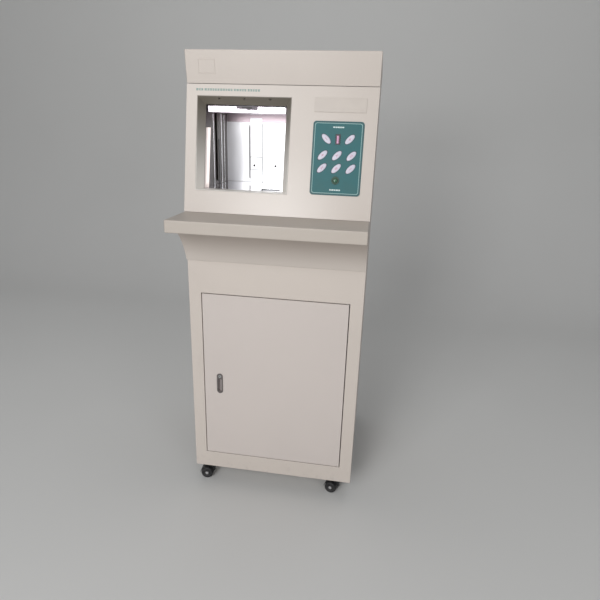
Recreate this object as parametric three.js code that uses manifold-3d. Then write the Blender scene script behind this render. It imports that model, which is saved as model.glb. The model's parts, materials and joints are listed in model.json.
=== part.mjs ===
// A floor-standing banknote bundle strapping machine: a folded sheet-metal cabinet on four castors,
// with a door below, a shelf at waist height, and a sloping console with a window onto the chamber
// where a press plate squeezes the bundle while it is strapped.
//
// Millimetres. X runs from left to right, Y from front to back and Z up. The origin is on the floor
// under the middle of the machine.

import * as THREE from 'three';
import { mergeVertices } from 'three/addons/utils/BufferGeometryUtils.js';
import Module from 'manifold-3d';

const wasm = await Module();
wasm.setup();

// ---------------------------------------------------------------- driving dimensions

const bodyWidth = 480;
const bodyDepth = 480;
const lowerHeight = 660.5;      // base underside to the seam below the cove
const coveHeight = 97.8;
const shelfThickness = 31.3;
const shelfReach = 140;         // shelf nose ahead of the lower front
const shelfStep = 1;            // step down in the shelf's top under the console
const consoleSlant = 317.2;     // sloping length of the console
const consoleLean = THREE.MathUtils.degToRad(10.3);
const consoleStep = 8.3;        // console foot ahead of the lower front
const hoodHeight = 75.4;
const hoodOverhang = 9.6;       // top edge of the hood band ahead of its lower edge
const hoodSeam = 1.1;           // gap under the hood, all the way round
const coveRadius = 191;
const coveFoot = 6.5;           // cove ahead of the lower front, at its seam
const coveHead = 80;            // cove ahead of the lower front, under the shelf

const sheet = 1.5;              // painted steel sheet
const gap = 0.3;                // between pieces that touch
const frontReturn = 20;         // depth of the front frame's folded edges
const panFlange = 25;           // height of the base pan's folded edges

const doorStile = 37;           // frame face on each side of the door
const doorSill = 53.2;          // frame face below the door
const doorHeader = 95.5;        // frame face above the door
const doorThickness = 18;
const doorClearance = 2.2;
const doorPivot = 5;            // hinge axis in from the door's face and edge
const doorRodRadius = 2;

const pullInset = 45.5;         // middle of the pull in from the door's free edge
const pullBottom = 260.5;       // base underside to the pull's lower end
const pullWidth = 18;
const pullHeight = 63.4;
const pullRim = 2;              // the rim covers the edge of the cut-out
const pullDepth = 12;
const pullWall = 1.5;
const lockRadius = 4.5;
const lockDrop = 9;             // lock axis below the pull's upper end
const camLength = 58;
const camWidth = 12;
const camThickness = 3;
const camStandoff = 7;          // cam behind the door's folded edge

const windowMargin = 28.8;      // window in from the console's left edge
const windowWidth = 239.2;
const windowFoot = 56.5;        // console foot to the window's lower edge, along the slope
const windowHeight = 231.5;
const bezelDepth = 23;
const bezelSplay = 15.6;        // left, right and upper walls lean in by this much
const sensorRadius = 2.5;       // three holes in the upper wall
const sensorPitch = 65;
const bezelSillSplay = 7;
const bezelWall = 1.5;

const chamberDepth = 240;       // back wall behind the lower front
const plate = 2;                // polished steel plate
const slotFoot = 10;            // wall slots start this far above the chamber floor
const earSlotWidth = 20;
const strapSlotWidth = 4;
const strapSlotHeight = 150;
const strapSlotInset = 68.6;    // middle of the strap slot in from the chamber's left wall
const wallOverPress = 29.4;     // chamber walls above the underside of the raised press plate

const stripWidth = 35;
const stripHeight = 180;
const headSlotWidth = 55;       // cut-out in the chamber floor above the strap head
const headSlotDepth = 40;
const headSlotInset = 8;

const pressDrop = 18.5;         // underside of the raised press plate below the chamber's mouth
const pressThickness = 6;
const pressLip = 16;
const pressLipThickness = 3;
const pressClearance = 3;
const pressSlotWidth = 29;
const pressSlotHeight = 4;
const earWidth = 14;
const earThickness = 10;
const bushWall = 5;
const bushHeight = 24;
const guideY = 138;             // guide columns behind the lower front
const guideRadius = 6;
const guideStandoff = 21;       // column axis outside the chamber wall
const screwRadius = 7;
const screwSetback = 46;        // screw axis behind the right guide column
const bridgeThickness = 6;
const bridgeHeadroom = 14;      // bridge above the bushes of the raised press plate
const bridgeMargin = 20;
const motorWidth = 70;
const motorHeight = 88;
const motorShaftRadius = 6;

const deckRise = 8;             // deck above the shelf's top face
const feedRadius = 13;
const nipGap = 0.6;             // the strap runs between the two wheels
const pressureRadius = 9;
const wheelWidth = 28;
const headWidth = 70;
const headDepth = 58;
const headPlate = 4;
const headAxle = 3;

const reelRadius = 110;
const reelWidth = 90;
const reelFlange = 3;
const reelRise = 240;           // reel axis above the base underside
const reelY = 250;              // reel axis behind the lower front
const reelAxle = 8;
const standWidth = 60;
const standPlate = 3;
const standClearance = 4;

const boxWidth = 140;
const boxDepth = 150;
const boxHeight = 180;
const boxInset = 12;

const keypadMargin = 30;        // keypad in from the console's right edge
const keypadWidth = 124.5;
const keypadFoot = 59.3;
const keypadHeight = 176.4;
const keypadCorner = 8;
const keypadThickness = 1.2;
const keyLength = 28.5;
const keyBreadth = 13;
const keyThickness = 1.2;
const keyProud = 0.6;           // key face ahead of the keypad's face
const displayWidth = 12;
const displayHeight = 24;
const displayRise = 193.3;
const buttonRise = 95.4;
const buttonCapRadius = 6.2;
const buttonWall = 1.3;
const buttonFlange = 2;         // collar flange beyond its sleeve
const buttonLength = 14;
const buttonSleeveLength = 20;
const buttonProud = 0.8;
const buttonFlangeThickness = 1.5;

const namePlateWidth = 126.3;
const namePlateFoot = 256.3;
const namePlateHeight = 33;
const namePlateThickness = 1.2;

const hingeBarrel = 4.5;        // radius of the hood's hinge barrels
const hingePin = 2;
const hingeLeaf = 22;
const hingeBarrelEnds = [120, 180];   // the hood's barrels run between these distances from the middle
const hingeHalfLength = 220;

const ventWidth = 110;
const ventHeight = 5;
const ventPitch = 14;
const ventRows = 7;
const ventColumns = [-120, 120];
const ventRise = 720;           // base underside to the lowest vent

const inletX = 150;
const inletRise = 70;           // base underside to the middle of the inlet
const inletWidth = 50;
const inletHeight = 60;
const inletFlange = 4;          // the flange covers the edge of its cut-out
const inletDepth = 24;
const inletWall = 2;
const socketWidth = 25;
const socketHeight = 17;
const socketDepth = 16;
const socketDrop = 13;          // socket below the inlet's middle
const switchWidth = 22;
const switchHeight = 14;
const switchDepth = 9;
const switchRise = 14;
const switchGap = 1;
const switchProud = 1.5;
const switchTilt = THREE.MathUtils.degToRad(-7);   // rocked to off

const castorSideInset = 41;     // swivel axes in from the cabinet's sides
const castorEndInset = 33;      // and from its front and back
const castorTrail = 15;
const castorPlateSize = 44;
const castorPlateThickness = 2.5;
const kingpinRadius = 3.5;
const wheelRadius = 18;
const wheelTread = 14;          // width of each of the two wheels
const webWidth = 8;
const webGap = 1;
const hoodShellClearance = 1.5;
const hoodShellWall = 1.5;
const castorHeadroom = 24;      // cabinet underside above the tops of the wheels
const hoodBossRadius = 9;
const wheelAxle = 2.5;

// The castors stand as they came to rest: each angle turns the trail away from straight ahead.
const castors = [
  { name: 'front_left', side: -1, end: 'front', turn: -86 },
  { name: 'front_right', side: 1, end: 'front', turn: -104 },
  { name: 'rear_left', side: -1, end: 'rear', turn: -97 },
  { name: 'rear_right', side: 1, end: 'rear', turn: -79 },
];

// Keys: distance across from the keypad's middle, distance up the slope, and which way the oval leans.
const keyPitch = 35.3;
const keyRows = [124.2, 155];
const keys = [
  { across: -28.6, rise: 193.8, lean: -1 },
  { across: 29, rise: 193.8, lean: 1 },
  ...keyRows.flatMap((rise) => [-1, 0, 1].map((column) => ({ across: column * keyPitch, rise, lean: 1 }))),
];

// ---------------------------------------------------------------- worked-out places

const halfWidth = bodyWidth / 2;
const frontY = (shelfReach - bodyDepth - gap - 2 * hingeBarrel) / 2;
const backY = frontY + bodyDepth;
const baseZ = 2 * wheelRadius + castorHeadroom;
const seamZ = baseZ + lowerHeight;
const shelfZ = seamZ + coveHeight;
const deskZ = shelfZ + shelfThickness;
const footY = frontY - consoleStep;

// A place on the console: its distance up the slope and behind the outer face, as [Y, Z].
const onConsole = (rise, behind) => [
  footY + rise * Math.sin(consoleLean) + behind * Math.cos(consoleLean),
  deskZ + rise * Math.cos(consoleLean) - behind * Math.sin(consoleLean),
];
const [hoodFootY, hoodZ] = onConsole(consoleSlant, 0);
const topZ = hoodZ + hoodHeight;

const innerHalf = halfWidth - sheet - gap;
const deckZ = deskZ + deckRise;
const windowLeft = windowMargin - halfWidth;
const windowRight = windowLeft + windowWidth;
const chamberLeft = windowLeft + bezelSplay;
const chamberRight = windowRight - bezelSplay;
const windowSill = windowFoot + bezelSillSplay;
const windowHead = windowFoot + windowHeight - bezelSplay;
const floorZ = onConsole(windowSill, bezelDepth)[1] - gap;
const floorFrontY = onConsole(windowSill, bezelDepth)[0] + 2 * gap;
const chamberBackY = frontY + chamberDepth;
const columnY = frontY + guideY;
const leftColumnX = chamberLeft - plate - guideStandoff;
const rightColumnX = chamberRight + plate + guideStandoff;
const screwY = columnY + screwSetback;
const bushRadius = guideRadius + bushWall;
const pressZ = onConsole(windowHead, bezelDepth)[1] - pressDrop;
const pressTopZ = pressZ + pressThickness;
const chamberTopZ = pressZ + wallOverPress;
const bridgeZ = pressTopZ + bushHeight + bridgeHeadroom;
const hingeY = backY + gap + hingeBarrel;
const hingeZ = hoodZ - gap / 2;

// ---------------------------------------------------------------- shape tools

const solidOf = (geometry) => {
  const bare = geometry.clone();
  bare.deleteAttribute('normal');
  bare.deleteAttribute('uv');
  const merged = mergeVertices(bare, 1e-4);
  return new wasm.Manifold(new wasm.Mesh({
    numProp: 3,
    vertProperties: Float32Array.from(merged.attributes.position.array),
    triVerts: Uint32Array.from(merged.index.array),
  }));
};

const geometryOf = (solid) => {
  const mesh = solid.getMesh();
  const geometry = new THREE.BufferGeometry();
  geometry.setAttribute('position', new THREE.BufferAttribute(mesh.vertProperties, 3));
  geometry.setIndex(new THREE.BufferAttribute(mesh.triVerts, 1));
  geometry.computeVertexNormals();
  return geometry;
};

const join = (first, ...others) => geometryOf(
  others.reduce((solid, other) => solid.add(solidOf(other)), solidOf(first)));

const cut = (first, ...others) => geometryOf(
  others.reduce((solid, other) => solid.subtract(solidOf(other)), solidOf(first)));

const block = ([x0, x1], [y0, y1], [z0, z1]) => new THREE.BoxGeometry(x1 - x0, y1 - y0, z1 - z0)
  .translate((x0 + x1) / 2, (y0 + y1) / 2, (z0 + z1) / 2);

const outline = (points) => new THREE.Shape(points.map(([a, b]) => new THREE.Vector2(a, b)));

// A flat shape drawn in Y and Z, given a thickness along X.
const extrudeX = (shape, x0, x1, curveSegments = 12) =>
  new THREE.ExtrudeGeometry(shape, { depth: x1 - x0, bevelEnabled: false, curveSegments })
    .applyMatrix4(new THREE.Matrix4().makeBasis(
      new THREE.Vector3(0, 1, 0), new THREE.Vector3(0, 0, 1), new THREE.Vector3(1, 0, 0)))
    .translate(x0, 0, 0);

// A flat shape drawn in X and Z, given a thickness along Y.
const extrudeY = (shape, y0, y1, curveSegments = 12) =>
  new THREE.ExtrudeGeometry(shape, { depth: y1 - y0, bevelEnabled: false, curveSegments })
    .rotateX(Math.PI / 2)
    .translate(0, y1, 0);

const rodZ = (radius, [x, y], [z0, z1], segments = 24) =>
  new THREE.CylinderGeometry(radius, radius, z1 - z0, segments)
    .rotateX(Math.PI / 2)
    .translate(x, y, (z0 + z1) / 2);

const rodY = (radius, [x, z], [y0, y1], segments = 24) =>
  new THREE.CylinderGeometry(radius, radius, y1 - y0, segments)
    .translate(x, (y0 + y1) / 2, z);

const rodX = (radius, [y, z], [x0, x1], segments = 24) =>
  new THREE.CylinderGeometry(radius, radius, x1 - x0, segments)
    .rotateZ(-Math.PI / 2)
    .translate((x0 + x1) / 2, y, z);

const roundedRectangle = ([a0, a1], [b0, b1], radius) => {
  const shape = new THREE.Shape();
  shape.moveTo(a0 + radius, b0);
  shape.lineTo(a1 - radius, b0);
  shape.absarc(a1 - radius, b0 + radius, radius, -Math.PI / 2, 0, false);
  shape.lineTo(a1, b1 - radius);
  shape.absarc(a1 - radius, b1 - radius, radius, 0, Math.PI / 2, false);
  shape.lineTo(a0 + radius, b1);
  shape.absarc(a0 + radius, b1 - radius, radius, Math.PI / 2, Math.PI, false);
  shape.lineTo(a0, b0 + radius);
  shape.absarc(a0 + radius, b0 + radius, radius, Math.PI, 1.5 * Math.PI, false);
  return shape;
};

// Points along an arc from one point to another, bulging away from the lower left.
const arcBetween = ([a0, b0], [a1, b1], radius, offset, steps) => {
  const half = Math.hypot(a1 - a0, b1 - b0) / 2;
  const toCentre = Math.sqrt(radius * radius - half * half);
  const centreA = (a0 + a1) / 2 - toCentre * (b1 - b0) / (2 * half);
  const centreB = (b0 + b1) / 2 + toCentre * (a1 - a0) / (2 * half);
  const start = Math.atan2(b0 - centreB, a0 - centreA);
  const end = Math.atan2(b1 - centreB, a1 - centreA);
  return Array.from({ length: steps + 1 }, (_, i) => {
    const angle = start + (end - start) * i / steps;
    return [
      centreA + (radius + offset) * Math.cos(angle),
      centreB + (radius + offset) * Math.sin(angle),
    ];
  });
};

// A box whose front face fills one rectangle and whose rear face fills another.
const taperedBox = (front, rear, [y0, y1]) => {
  const geometry = new THREE.BoxGeometry(1, 1, 1);
  const position = geometry.attributes.position;
  for (let i = 0; i < position.count; i += 1) {
    const [y, face] = position.getY(i) < 0 ? [y0, front] : [y1, rear];
    position.setXYZ(i, face.x[position.getX(i) < 0 ? 0 : 1], y, face.z[position.getZ(i) < 0 ? 0 : 1]);
  }
  return geometry;
};

// ---------------------------------------------------------------- finishes

const finish = (color, roughness, metalness) =>
  () => new THREE.MeshStandardMaterial({ color, roughness, metalness });
const creamPaint = finish(0xc9bfb4, 0.45, 0);
const polishedSteel = finish(0xd8d8dc, 0.12, 1);
const groundSteel = finish(0x9a9a9c, 0.35, 1);
const zincSteel = finish(0xa8a9a4, 0.4, 0.9);
const greyCasting = finish(0x5f5c5a, 0.5, 0.3);
const tealFilm = finish(0x3c7a7a, 0.4, 0);
const whiteKey = finish(0xe9e9f0, 0.35, 0);
const displayLens = finish(0x5a3048, 0.2, 0);
const greenPlastic = finish(0x0c5030, 0.35, 0);
const blackPlastic = finish(0x161616, 0.45, 0);
const silverLabel = finish(0xcfcac4, 0.4, 0.2);
const motorPaint = finish(0x3a3d40, 0.5, 0.2);
const strapPaper = finish(0xd9d2bf, 0.7, 0);

const cabinet = new THREE.Group();

const consoleFrame = new THREE.Group();
consoleFrame.position.set(0, footY, deskZ);
consoleFrame.rotation.x = -consoleLean;
cabinet.add(consoleFrame);

const place = (name, geometry, material, parent = cabinet) => {
  const mesh = new THREE.Mesh(geometry, material());
  mesh.name = name;
  parent.add(mesh);
  return mesh;
};

// ---------------------------------------------------------------- cabinet shell

// Folded tray that closes the underside and carries the castors.
function basePan() {
  const y = [frontY + sheet + gap, backY - sheet - gap];
  const tray = cut(
    block([-innerHalf, innerHalf], y, [baseZ, baseZ + panFlange]),
    block([sheet - innerHalf, innerHalf - sheet], [y[0] + sheet, y[1] - sheet],
      [baseZ + sheet, baseZ + 2 * panFlange]),
  );
  place('base_pan', tray, creamPaint);
}

// Each side is one flat sheet that follows the front frame, the shelf and the slope of the console.
function sidePanel(name, side) {
  const frameBack = frontY + frontReturn + gap;
  const skinBack = frontY + sheet + gap;
  const behindConsole = sheet + gap;
  const slopeAt = (z) => {
    const rise = (z - deskZ + behindConsole * Math.sin(consoleLean)) / Math.cos(consoleLean);
    return onConsole(rise, behindConsole)[0];
  };
  const shape = outline([
    [frameBack, baseZ],
    [backY, baseZ],
    [backY, hoodZ - hoodSeam],
    [slopeAt(hoodZ - hoodSeam), hoodZ - hoodSeam],
    [slopeAt(deskZ + gap), deskZ + gap],
    [skinBack, deskZ + gap],
    [skinBack, seamZ + gap],
    [frameBack, seamZ + gap],
  ]);
  const x = side < 0 ? [-halfWidth, sheet - halfWidth] : [halfWidth - sheet, halfWidth];
  place(name, extrudeX(shape, ...x), creamPaint);
}

// Flat sheet between the sides, with vents high up and a cut-out for the power inlet.
function backPanel() {
  const vents = ventColumns.flatMap((x) => Array.from({ length: ventRows }, (_, row) => block(
    [x - ventWidth / 2, x + ventWidth / 2],
    [backY - 2 * sheet, backY + sheet],
    [baseZ + ventRise + row * ventPitch, baseZ + ventRise + row * ventPitch + ventHeight],
  )));
  const inletHole = block(
    [inletX - inletWidth / 2 + inletFlange - gap, inletX + inletWidth / 2 - inletFlange + gap],
    [backY - 2 * sheet, backY + sheet],
    [baseZ + inletRise - inletHeight / 2 + inletFlange - gap,
      baseZ + inletRise + inletHeight / 2 - inletFlange + gap],
  );
  place('back_panel', cut(
    block([-innerHalf, innerHalf], [backY - sheet, backY], [baseZ, hoodZ - hoodSeam]),
    inletHole,
    ...vents,
  ), creamPaint);
}

const doorX = [doorStile - halfWidth, halfWidth - doorStile];
const doorZ = [baseZ + doorSill, seamZ - doorHeader];
const openingX = [doorX[0] - doorClearance, doorX[1] + doorClearance];
const openingZ = [doorZ[0] - doorClearance, doorZ[1] + doorClearance];
const grow = ([low, high], by) => [low - by, high + by];

// Lower front: a flat face with its sides folded back and a folded edge all round the door opening.
function frontFrame() {
  const face = cut(
    block([-halfWidth, halfWidth], [frontY, frontY + frontReturn], [baseZ, seamZ]),
    block([sheet - halfWidth, halfWidth - sheet], [frontY + sheet, frontY + 2 * frontReturn],
      [baseZ - 1, seamZ + 1]),
  );
  const reveal = block(grow(openingX, sheet), [frontY + sheet / 2, frontY + frontReturn],
    grow(openingZ, sheet));
  const opening = block(openingX, [frontY - 1, frontY + 2 * frontReturn], openingZ);
  place('front_frame', cut(join(face, reveal), opening), creamPaint);
}

// Concave apron that carries the face forward from the lower front to the shelf.
function coveApron() {
  const steps = 10;
  const foot = [frontY - coveFoot, seamZ + gap];
  const head = [frontY - coveHead, shelfZ - gap];
  const rear = frontY + sheet;
  const skin = outline([
    ...arcBetween(foot, head, coveRadius, 0, steps),
    [rear, head[1]],
    [rear, foot[1]],
  ]);
  const inner = arcBetween(foot, head, coveRadius, sheet, steps)
    .filter(([, z]) => z > foot[1] + sheet && z < head[1] - sheet);
  const hollow = outline([
    [inner[0][0], foot[1] + sheet],
    ...inner,
    [inner[inner.length - 1][0], head[1] - sheet],
    [rear + sheet, head[1] - sheet],
    [rear + sheet, foot[1] + sheet],
  ]);
  place('cove_apron', cut(
    extrudeX(skin, -halfWidth, halfWidth),
    extrudeX(hollow, sheet - halfWidth, halfWidth - sheet),
  ), creamPaint);
}

// Folded box shelf, open at its hidden rear edge. Its top steps down where it passes under the console.
function shelf() {
  const across = [sheet - halfWidth, halfWidth - sheet];
  const stepY = footY - gap;
  place('shelf', cut(
    block([-halfWidth, halfWidth], [frontY - shelfReach, frontY + sheet], [shelfZ, deskZ]),
    block([-bodyWidth, bodyWidth], [stepY, frontY + 2 * sheet], [deskZ - shelfStep, deskZ + sheet]),
    block(across, [frontY - shelfReach + sheet, stepY - sheet], [shelfZ + sheet, deskZ - sheet]),
    block(across, [stepY - 2 * sheet, frontY + 2 * sheet], [shelfZ + sheet, deskZ - shelfStep - sheet]),
  ), creamPaint);
}

// Hood that closes the top, with barrels on its rear edge. Its front band leans forward.
function topCover() {
  const lip = [hoodFootY, hoodZ];
  const band = [hoodFootY - hoodOverhang, topZ];
  const inwards = sheet * Math.hypot(hoodOverhang, hoodHeight) / hoodHeight;
  const skin = outline([lip, [backY, hoodZ], [backY, topZ], band]);
  const hollow = outline([
    [lip[0] + inwards + hoodOverhang * sheet / hoodHeight, hoodZ - sheet],
    [backY - sheet, hoodZ - sheet],
    [backY - sheet, topZ - sheet],
    [band[0] + inwards + hoodOverhang * sheet / hoodHeight, topZ - sheet],
  ]);
  const barrels = [-1, 1].flatMap((side) => {
    const x = hingeBarrelEnds.map((end) => side * end).sort((a, b) => a - b);
    return [
      rodX(hingeBarrel, [hingeY, hingeZ], x, 20),
      block(x, [backY - sheet / 2, hingeY], [hoodZ, hingeZ + hingeBarrel - gap]),
    ];
  });
  const bore = rodX(hingePin + gap, [hingeY, hingeZ], [-halfWidth, halfWidth], 16);
  const shell = cut(
    extrudeX(skin, -halfWidth, halfWidth),
    extrudeX(hollow, sheet - halfWidth, halfWidth - sheet),
  );
  place('top_cover', cut(join(shell, ...barrels), bore), creamPaint);
}

// Rear hinge: a leaf on the back panel, the barrels that stay with the cabinet, and the pin.
function lidHinge() {
  const [near, far] = hingeBarrelEnds;
  const spans = [
    [-hingeHalfLength, -far - gap],
    [gap - near, near - gap],
    [far + gap, hingeHalfLength],
  ];
  const leafTop = hingeZ - 2 * hingeBarrel;
  const leafY = [backY + gap, backY + gap + sheet];
  const barrels = spans.flatMap((x) => [
    rodX(hingeBarrel, [hingeY, hingeZ], x, 20),
    block(x, leafY, [leafTop - 1, hingeZ - gap]),
  ]);
  const leaf = block([-hingeHalfLength, hingeHalfLength], leafY, [leafTop - hingeLeaf, leafTop]);
  const pin = rodX(hingePin, [hingeY, hingeZ], [-hingeHalfLength, hingeHalfLength], 16);
  place('lid_hinge', join(leaf, pin, ...barrels), zincSteel);
}

// ---------------------------------------------------------------- door

const pivotX = doorX[1] - doorPivot;
const pivotY = frontY + doorPivot;
const pullX = doorX[0] + pullInset;
const pullZ = [baseZ + pullBottom, baseZ + pullBottom + pullHeight];
const lockZ = pullZ[1] - lockDrop;
const pullX0 = pullX - pullWidth / 2;
const pullX1 = pullX + pullWidth / 2;
const cupRadius = pullWidth / 2 - pullRim;

// Door pan with folded edges. The pull sits in a cut-out near its left edge.
function cabinetDoor() {
  const pan = cut(
    block(doorX, [frontY, frontY + doorThickness], doorZ),
    block(grow(doorX, -sheet), [frontY + sheet, frontY + 2 * doorThickness], grow(doorZ, -sheet)),
  );
  const cutOut = extrudeY(
    roundedRectangle(grow([pullX0, pullX1], gap - pullRim), grow(pullZ, gap - pullRim), cupRadius),
    frontY - sheet, frontY + 2 * sheet, 8);
  const rodHole = rodZ(doorRodRadius + gap, [pivotX, pivotY], grow(doorZ, 1), 16);
  place('cabinet_door', cut(pan, cutOut, rodHole), creamPaint);
}

function doorHingeRod() {
  place('door_hinge_rod', rodZ(doorRodRadius, [pivotX, pivotY], grow(openingZ, -gap), 16), zincSteel);
}

// Flush pull: a rim on the door's face and a cup behind it, bored at the top for the lock.
function doorPull() {
  const rim = extrudeY(roundedRectangle([pullX0, pullX1], pullZ, pullWidth / 2 - gap),
    frontY - gap - pullWall, frontY - gap, 8);
  const body = extrudeY(
    roundedRectangle(grow([pullX0, pullX1], -pullRim), grow(pullZ, -pullRim), cupRadius - gap),
    frontY - gap - pullWall / 2, frontY + pullDepth, 8);
  const cup = extrudeY(
    roundedRectangle(
      grow([pullX0, pullX1], -pullRim - pullWall),
      [pullZ[0] + pullRim + pullWall, lockZ - lockRadius - pullRim],
      cupRadius - pullWall - gap),
    frontY - 2 * pullWall, frontY + pullDepth - pullWall, 8);
  const bore = rodY(lockRadius + gap, [pullX, lockZ], [frontY - 2 * pullWall, frontY + 2 * pullDepth]);
  place('door_pull', cut(join(rim, body), cup, bore), greyCasting);
}

// Lock plug with its cam, which hangs down when unlocked and swings behind the frame when locked.
function lockCam() {
  const camY = frontY + doorThickness + camStandoff;
  const plug = rodY(lockRadius, [pullX, lockZ], [frontY - gap - pullWall, camY + camThickness]);
  const cam = extrudeY(
    roundedRectangle([pullX - camWidth / 2, pullX + camWidth / 2],
      [lockZ - camLength, lockZ + camWidth / 2], camWidth / 2 - gap),
    camY, camY + camThickness, 6);
  place('lock_cam', join(plug, cam), zincSteel);
}

// ---------------------------------------------------------------- console

const keypadX = [halfWidth - keypadMargin - keypadWidth, halfWidth - keypadMargin];
const keypadMiddle = (keypadX[0] + keypadX[1]) / 2;
const keypadY = [-gap - keypadThickness, -gap];
const displayX = [keypadMiddle - displayWidth / 2, keypadMiddle + displayWidth / 2];
const displayZ = [displayRise - displayHeight / 2, displayRise + displayHeight / 2];
const buttonCentre = [keypadMiddle, buttonRise];
const buttonBore = buttonCapRadius + gap;
const buttonSleeve = buttonBore + buttonWall;
const collarY = [keypadY[0] - gap - buttonFlangeThickness, keypadY[0] - gap];

// Sloping front sheet with the window and the hole for the start button.
function consolePanel() {
  place('console_panel', cut(
    block([-halfWidth, halfWidth], [0, sheet], [gap, consoleSlant - hoodSeam]),
    block(grow([windowLeft, windowRight], gap), [-1, 2 * sheet],
      grow([windowFoot, windowFoot + windowHeight], gap)),
    rodY(buttonSleeve + gap, buttonCentre, [-1, 2 * sheet]),
  ), creamPaint, consoleFrame);
}

// Splayed frame that leads from the console's face to the smaller mouth of the chamber.
function windowBezel() {
  const mouth = { x: [chamberLeft, chamberRight], z: [windowSill, windowHead] };
  const face = { x: [windowLeft, windowRight], z: [windowFoot, windowFoot + windowHeight] };
  const thickened = (rectangle, by) => ({ x: grow(rectangle.x, by), z: grow(rectangle.z, by) });
  const between = (front, rear, share) => ({
    x: [0, 1].map((i) => THREE.MathUtils.lerp(front.x[i], rear.x[i], share)),
    z: [0, 1].map((i) => THREE.MathUtils.lerp(front.z[i], rear.z[i], share)),
  });
  const lipInside = thickened(face, -bezelWall);
  const overrun = 0.1;
  const outer = taperedBox(face, thickened(mouth, bezelWall), [0, bezelDepth]);
  const inner = taperedBox(
    between(lipInside, mouth, -overrun),
    between(lipInside, mouth, 1 + overrun),
    [-overrun * bezelDepth, (1 + overrun) * bezelDepth],
  );
  const sensors = [-1, 0, 1].map((place) => rodZ(
    sensorRadius,
    [(windowLeft + windowRight) / 2 + place * sensorPitch, bezelDepth / 4],
    [windowHead - bezelSplay, windowFoot + windowHeight + bezelSplay],
    12,
  ));
  place('window_bezel', cut(outer, inner, ...sensors), creamPaint, consoleFrame);
}

function namePlate() {
  place('name_plate', block(
    [keypadX[0], keypadX[0] + namePlateWidth],
    [-gap - namePlateThickness, -gap],
    [namePlateFoot, namePlateFoot + namePlateHeight],
  ), silverLabel, consoleFrame);
}

const keyShape = (lean, clearance) => {
  const shape = new THREE.Shape();
  shape.absellipse(0, 0, keyLength / 2 + clearance, keyBreadth / 2 + clearance,
    0, 2 * Math.PI, false, lean * Math.PI / 4);
  return shape;
};

// Teal keypad plate with an oval hole for each key, one for the display and one for the button.
function keypadPlate() {
  const holes = keys.map((key) => extrudeY(keyShape(key.lean, gap), -1 - keypadThickness, 1, 12)
    .translate(keypadMiddle + key.across, 0, key.rise));
  const displayHole = block(grow(displayX, gap), [-1 - keypadThickness, 1], grow(displayZ, gap));
  const buttonHole = rodY(buttonSleeve + gap, buttonCentre, [-1 - keypadThickness, 1]);
  const film = extrudeY(
    roundedRectangle(keypadX, [keypadFoot, keypadFoot + keypadHeight], keypadCorner),
    ...keypadY, 6);
  place('keypad_plate', cut(film, displayHole, buttonHole, ...holes), tealFilm, consoleFrame);
}

function keypadKeys() {
  const faceY = keypadY[0] - keyProud;
  keys.forEach((key, index) => {
    const mesh = place(`key_${index + 1}`, extrudeY(keyShape(key.lean, 0), 0, keyThickness, 12),
      whiteKey, consoleFrame);
    mesh.position.set(keypadMiddle + key.across, faceY, key.rise);
  });
}

function displayWindow() {
  place('display_window', block(displayX, [keypadY[0] - gap, keypadY[1]], displayZ),
    displayLens, consoleFrame);
}

// Start button: a collar that clamps through the keypad, and the cap that slides in it.
function startButton() {
  const collar = join(
    rodY(buttonSleeve + buttonFlange, buttonCentre, collarY),
    rodY(buttonSleeve, buttonCentre, [collarY[0] + buttonFlangeThickness / 2, buttonSleeveLength]),
  );
  const bore = rodY(buttonBore, buttonCentre, [collarY[0] - 1, buttonSleeveLength + 1]);
  place('start_button_collar', cut(collar, bore), greenPlastic, consoleFrame);
  const capFace = collarY[0] - buttonProud;
  place('start_button', rodY(buttonCapRadius, buttonCentre, [capFace, capFace + buttonLength]),
    greenPlastic, consoleFrame);
}

// ---------------------------------------------------------------- chamber

// Deck across the cabinet at shelf level. It carries the chamber, the columns and the electronics.
function deckPlate() {
  place('deck_plate', cut(
    block([-innerHalf, innerHalf], [frontY + 2 * sheet, backY - sheet - gap], [deckZ, deckZ + plate]),
    rodZ(motorShaftRadius + gap, [rightColumnX, screwY], [deckZ - 1, deckZ + 2 * plate]),
  ), zincSteel);
}

const headX = [chamberRight - headSlotInset - headSlotWidth, chamberRight - headSlotInset];
const headY = [floorFrontY + headSlotInset, floorFrontY + headSlotInset + headSlotDepth];

function chamberFloor() {
  place('chamber_floor', cut(
    block([chamberLeft - plate, chamberRight + plate], [floorFrontY, chamberBackY + plate],
      [floorZ - plate, floorZ]),
    block(headX, headY, [floorZ - 2 * plate, floorZ + plate]),
  ), polishedSteel);
}

// Side wall of the chamber. Its front edge follows the console, and the press ear runs in the slot.
function chamberWall(name, x) {
  const wallFoot = floorZ + gap;
  const behindBezel = bezelDepth + gap;
  const edgeAt = (z) => {
    const rise = (z - deskZ + behindBezel * Math.sin(consoleLean)) / Math.cos(consoleLean);
    return onConsole(rise, behindBezel)[0];
  };
  const rear = chamberBackY - gap;
  const slot = [columnY - earSlotWidth / 2, columnY + earSlotWidth / 2];
  const shape = outline([
    [edgeAt(wallFoot), wallFoot],
    [rear, wallFoot],
    [rear, chamberTopZ],
    [slot[1], chamberTopZ],
    [slot[1], wallFoot + slotFoot],
    [slot[0], wallFoot + slotFoot],
    [slot[0], chamberTopZ],
    [edgeAt(chamberTopZ), chamberTopZ],
  ]);
  place(name, extrudeX(shape, ...x), polishedSteel);
}

const strapSlotX = [
  chamberLeft + strapSlotInset - strapSlotWidth / 2,
  chamberLeft + strapSlotInset + strapSlotWidth / 2,
];

function chamberBackWall() {
  place('chamber_back_wall', cut(
    block([chamberLeft - plate, chamberRight + plate], [chamberBackY, chamberBackY + plate],
      [floorZ + gap, chamberTopZ]),
    block(strapSlotX, [chamberBackY - 1, chamberBackY + 2 * plate],
      [floorZ + slotFoot, floorZ + slotFoot + strapSlotHeight]),
  ), polishedSteel);
}

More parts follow.
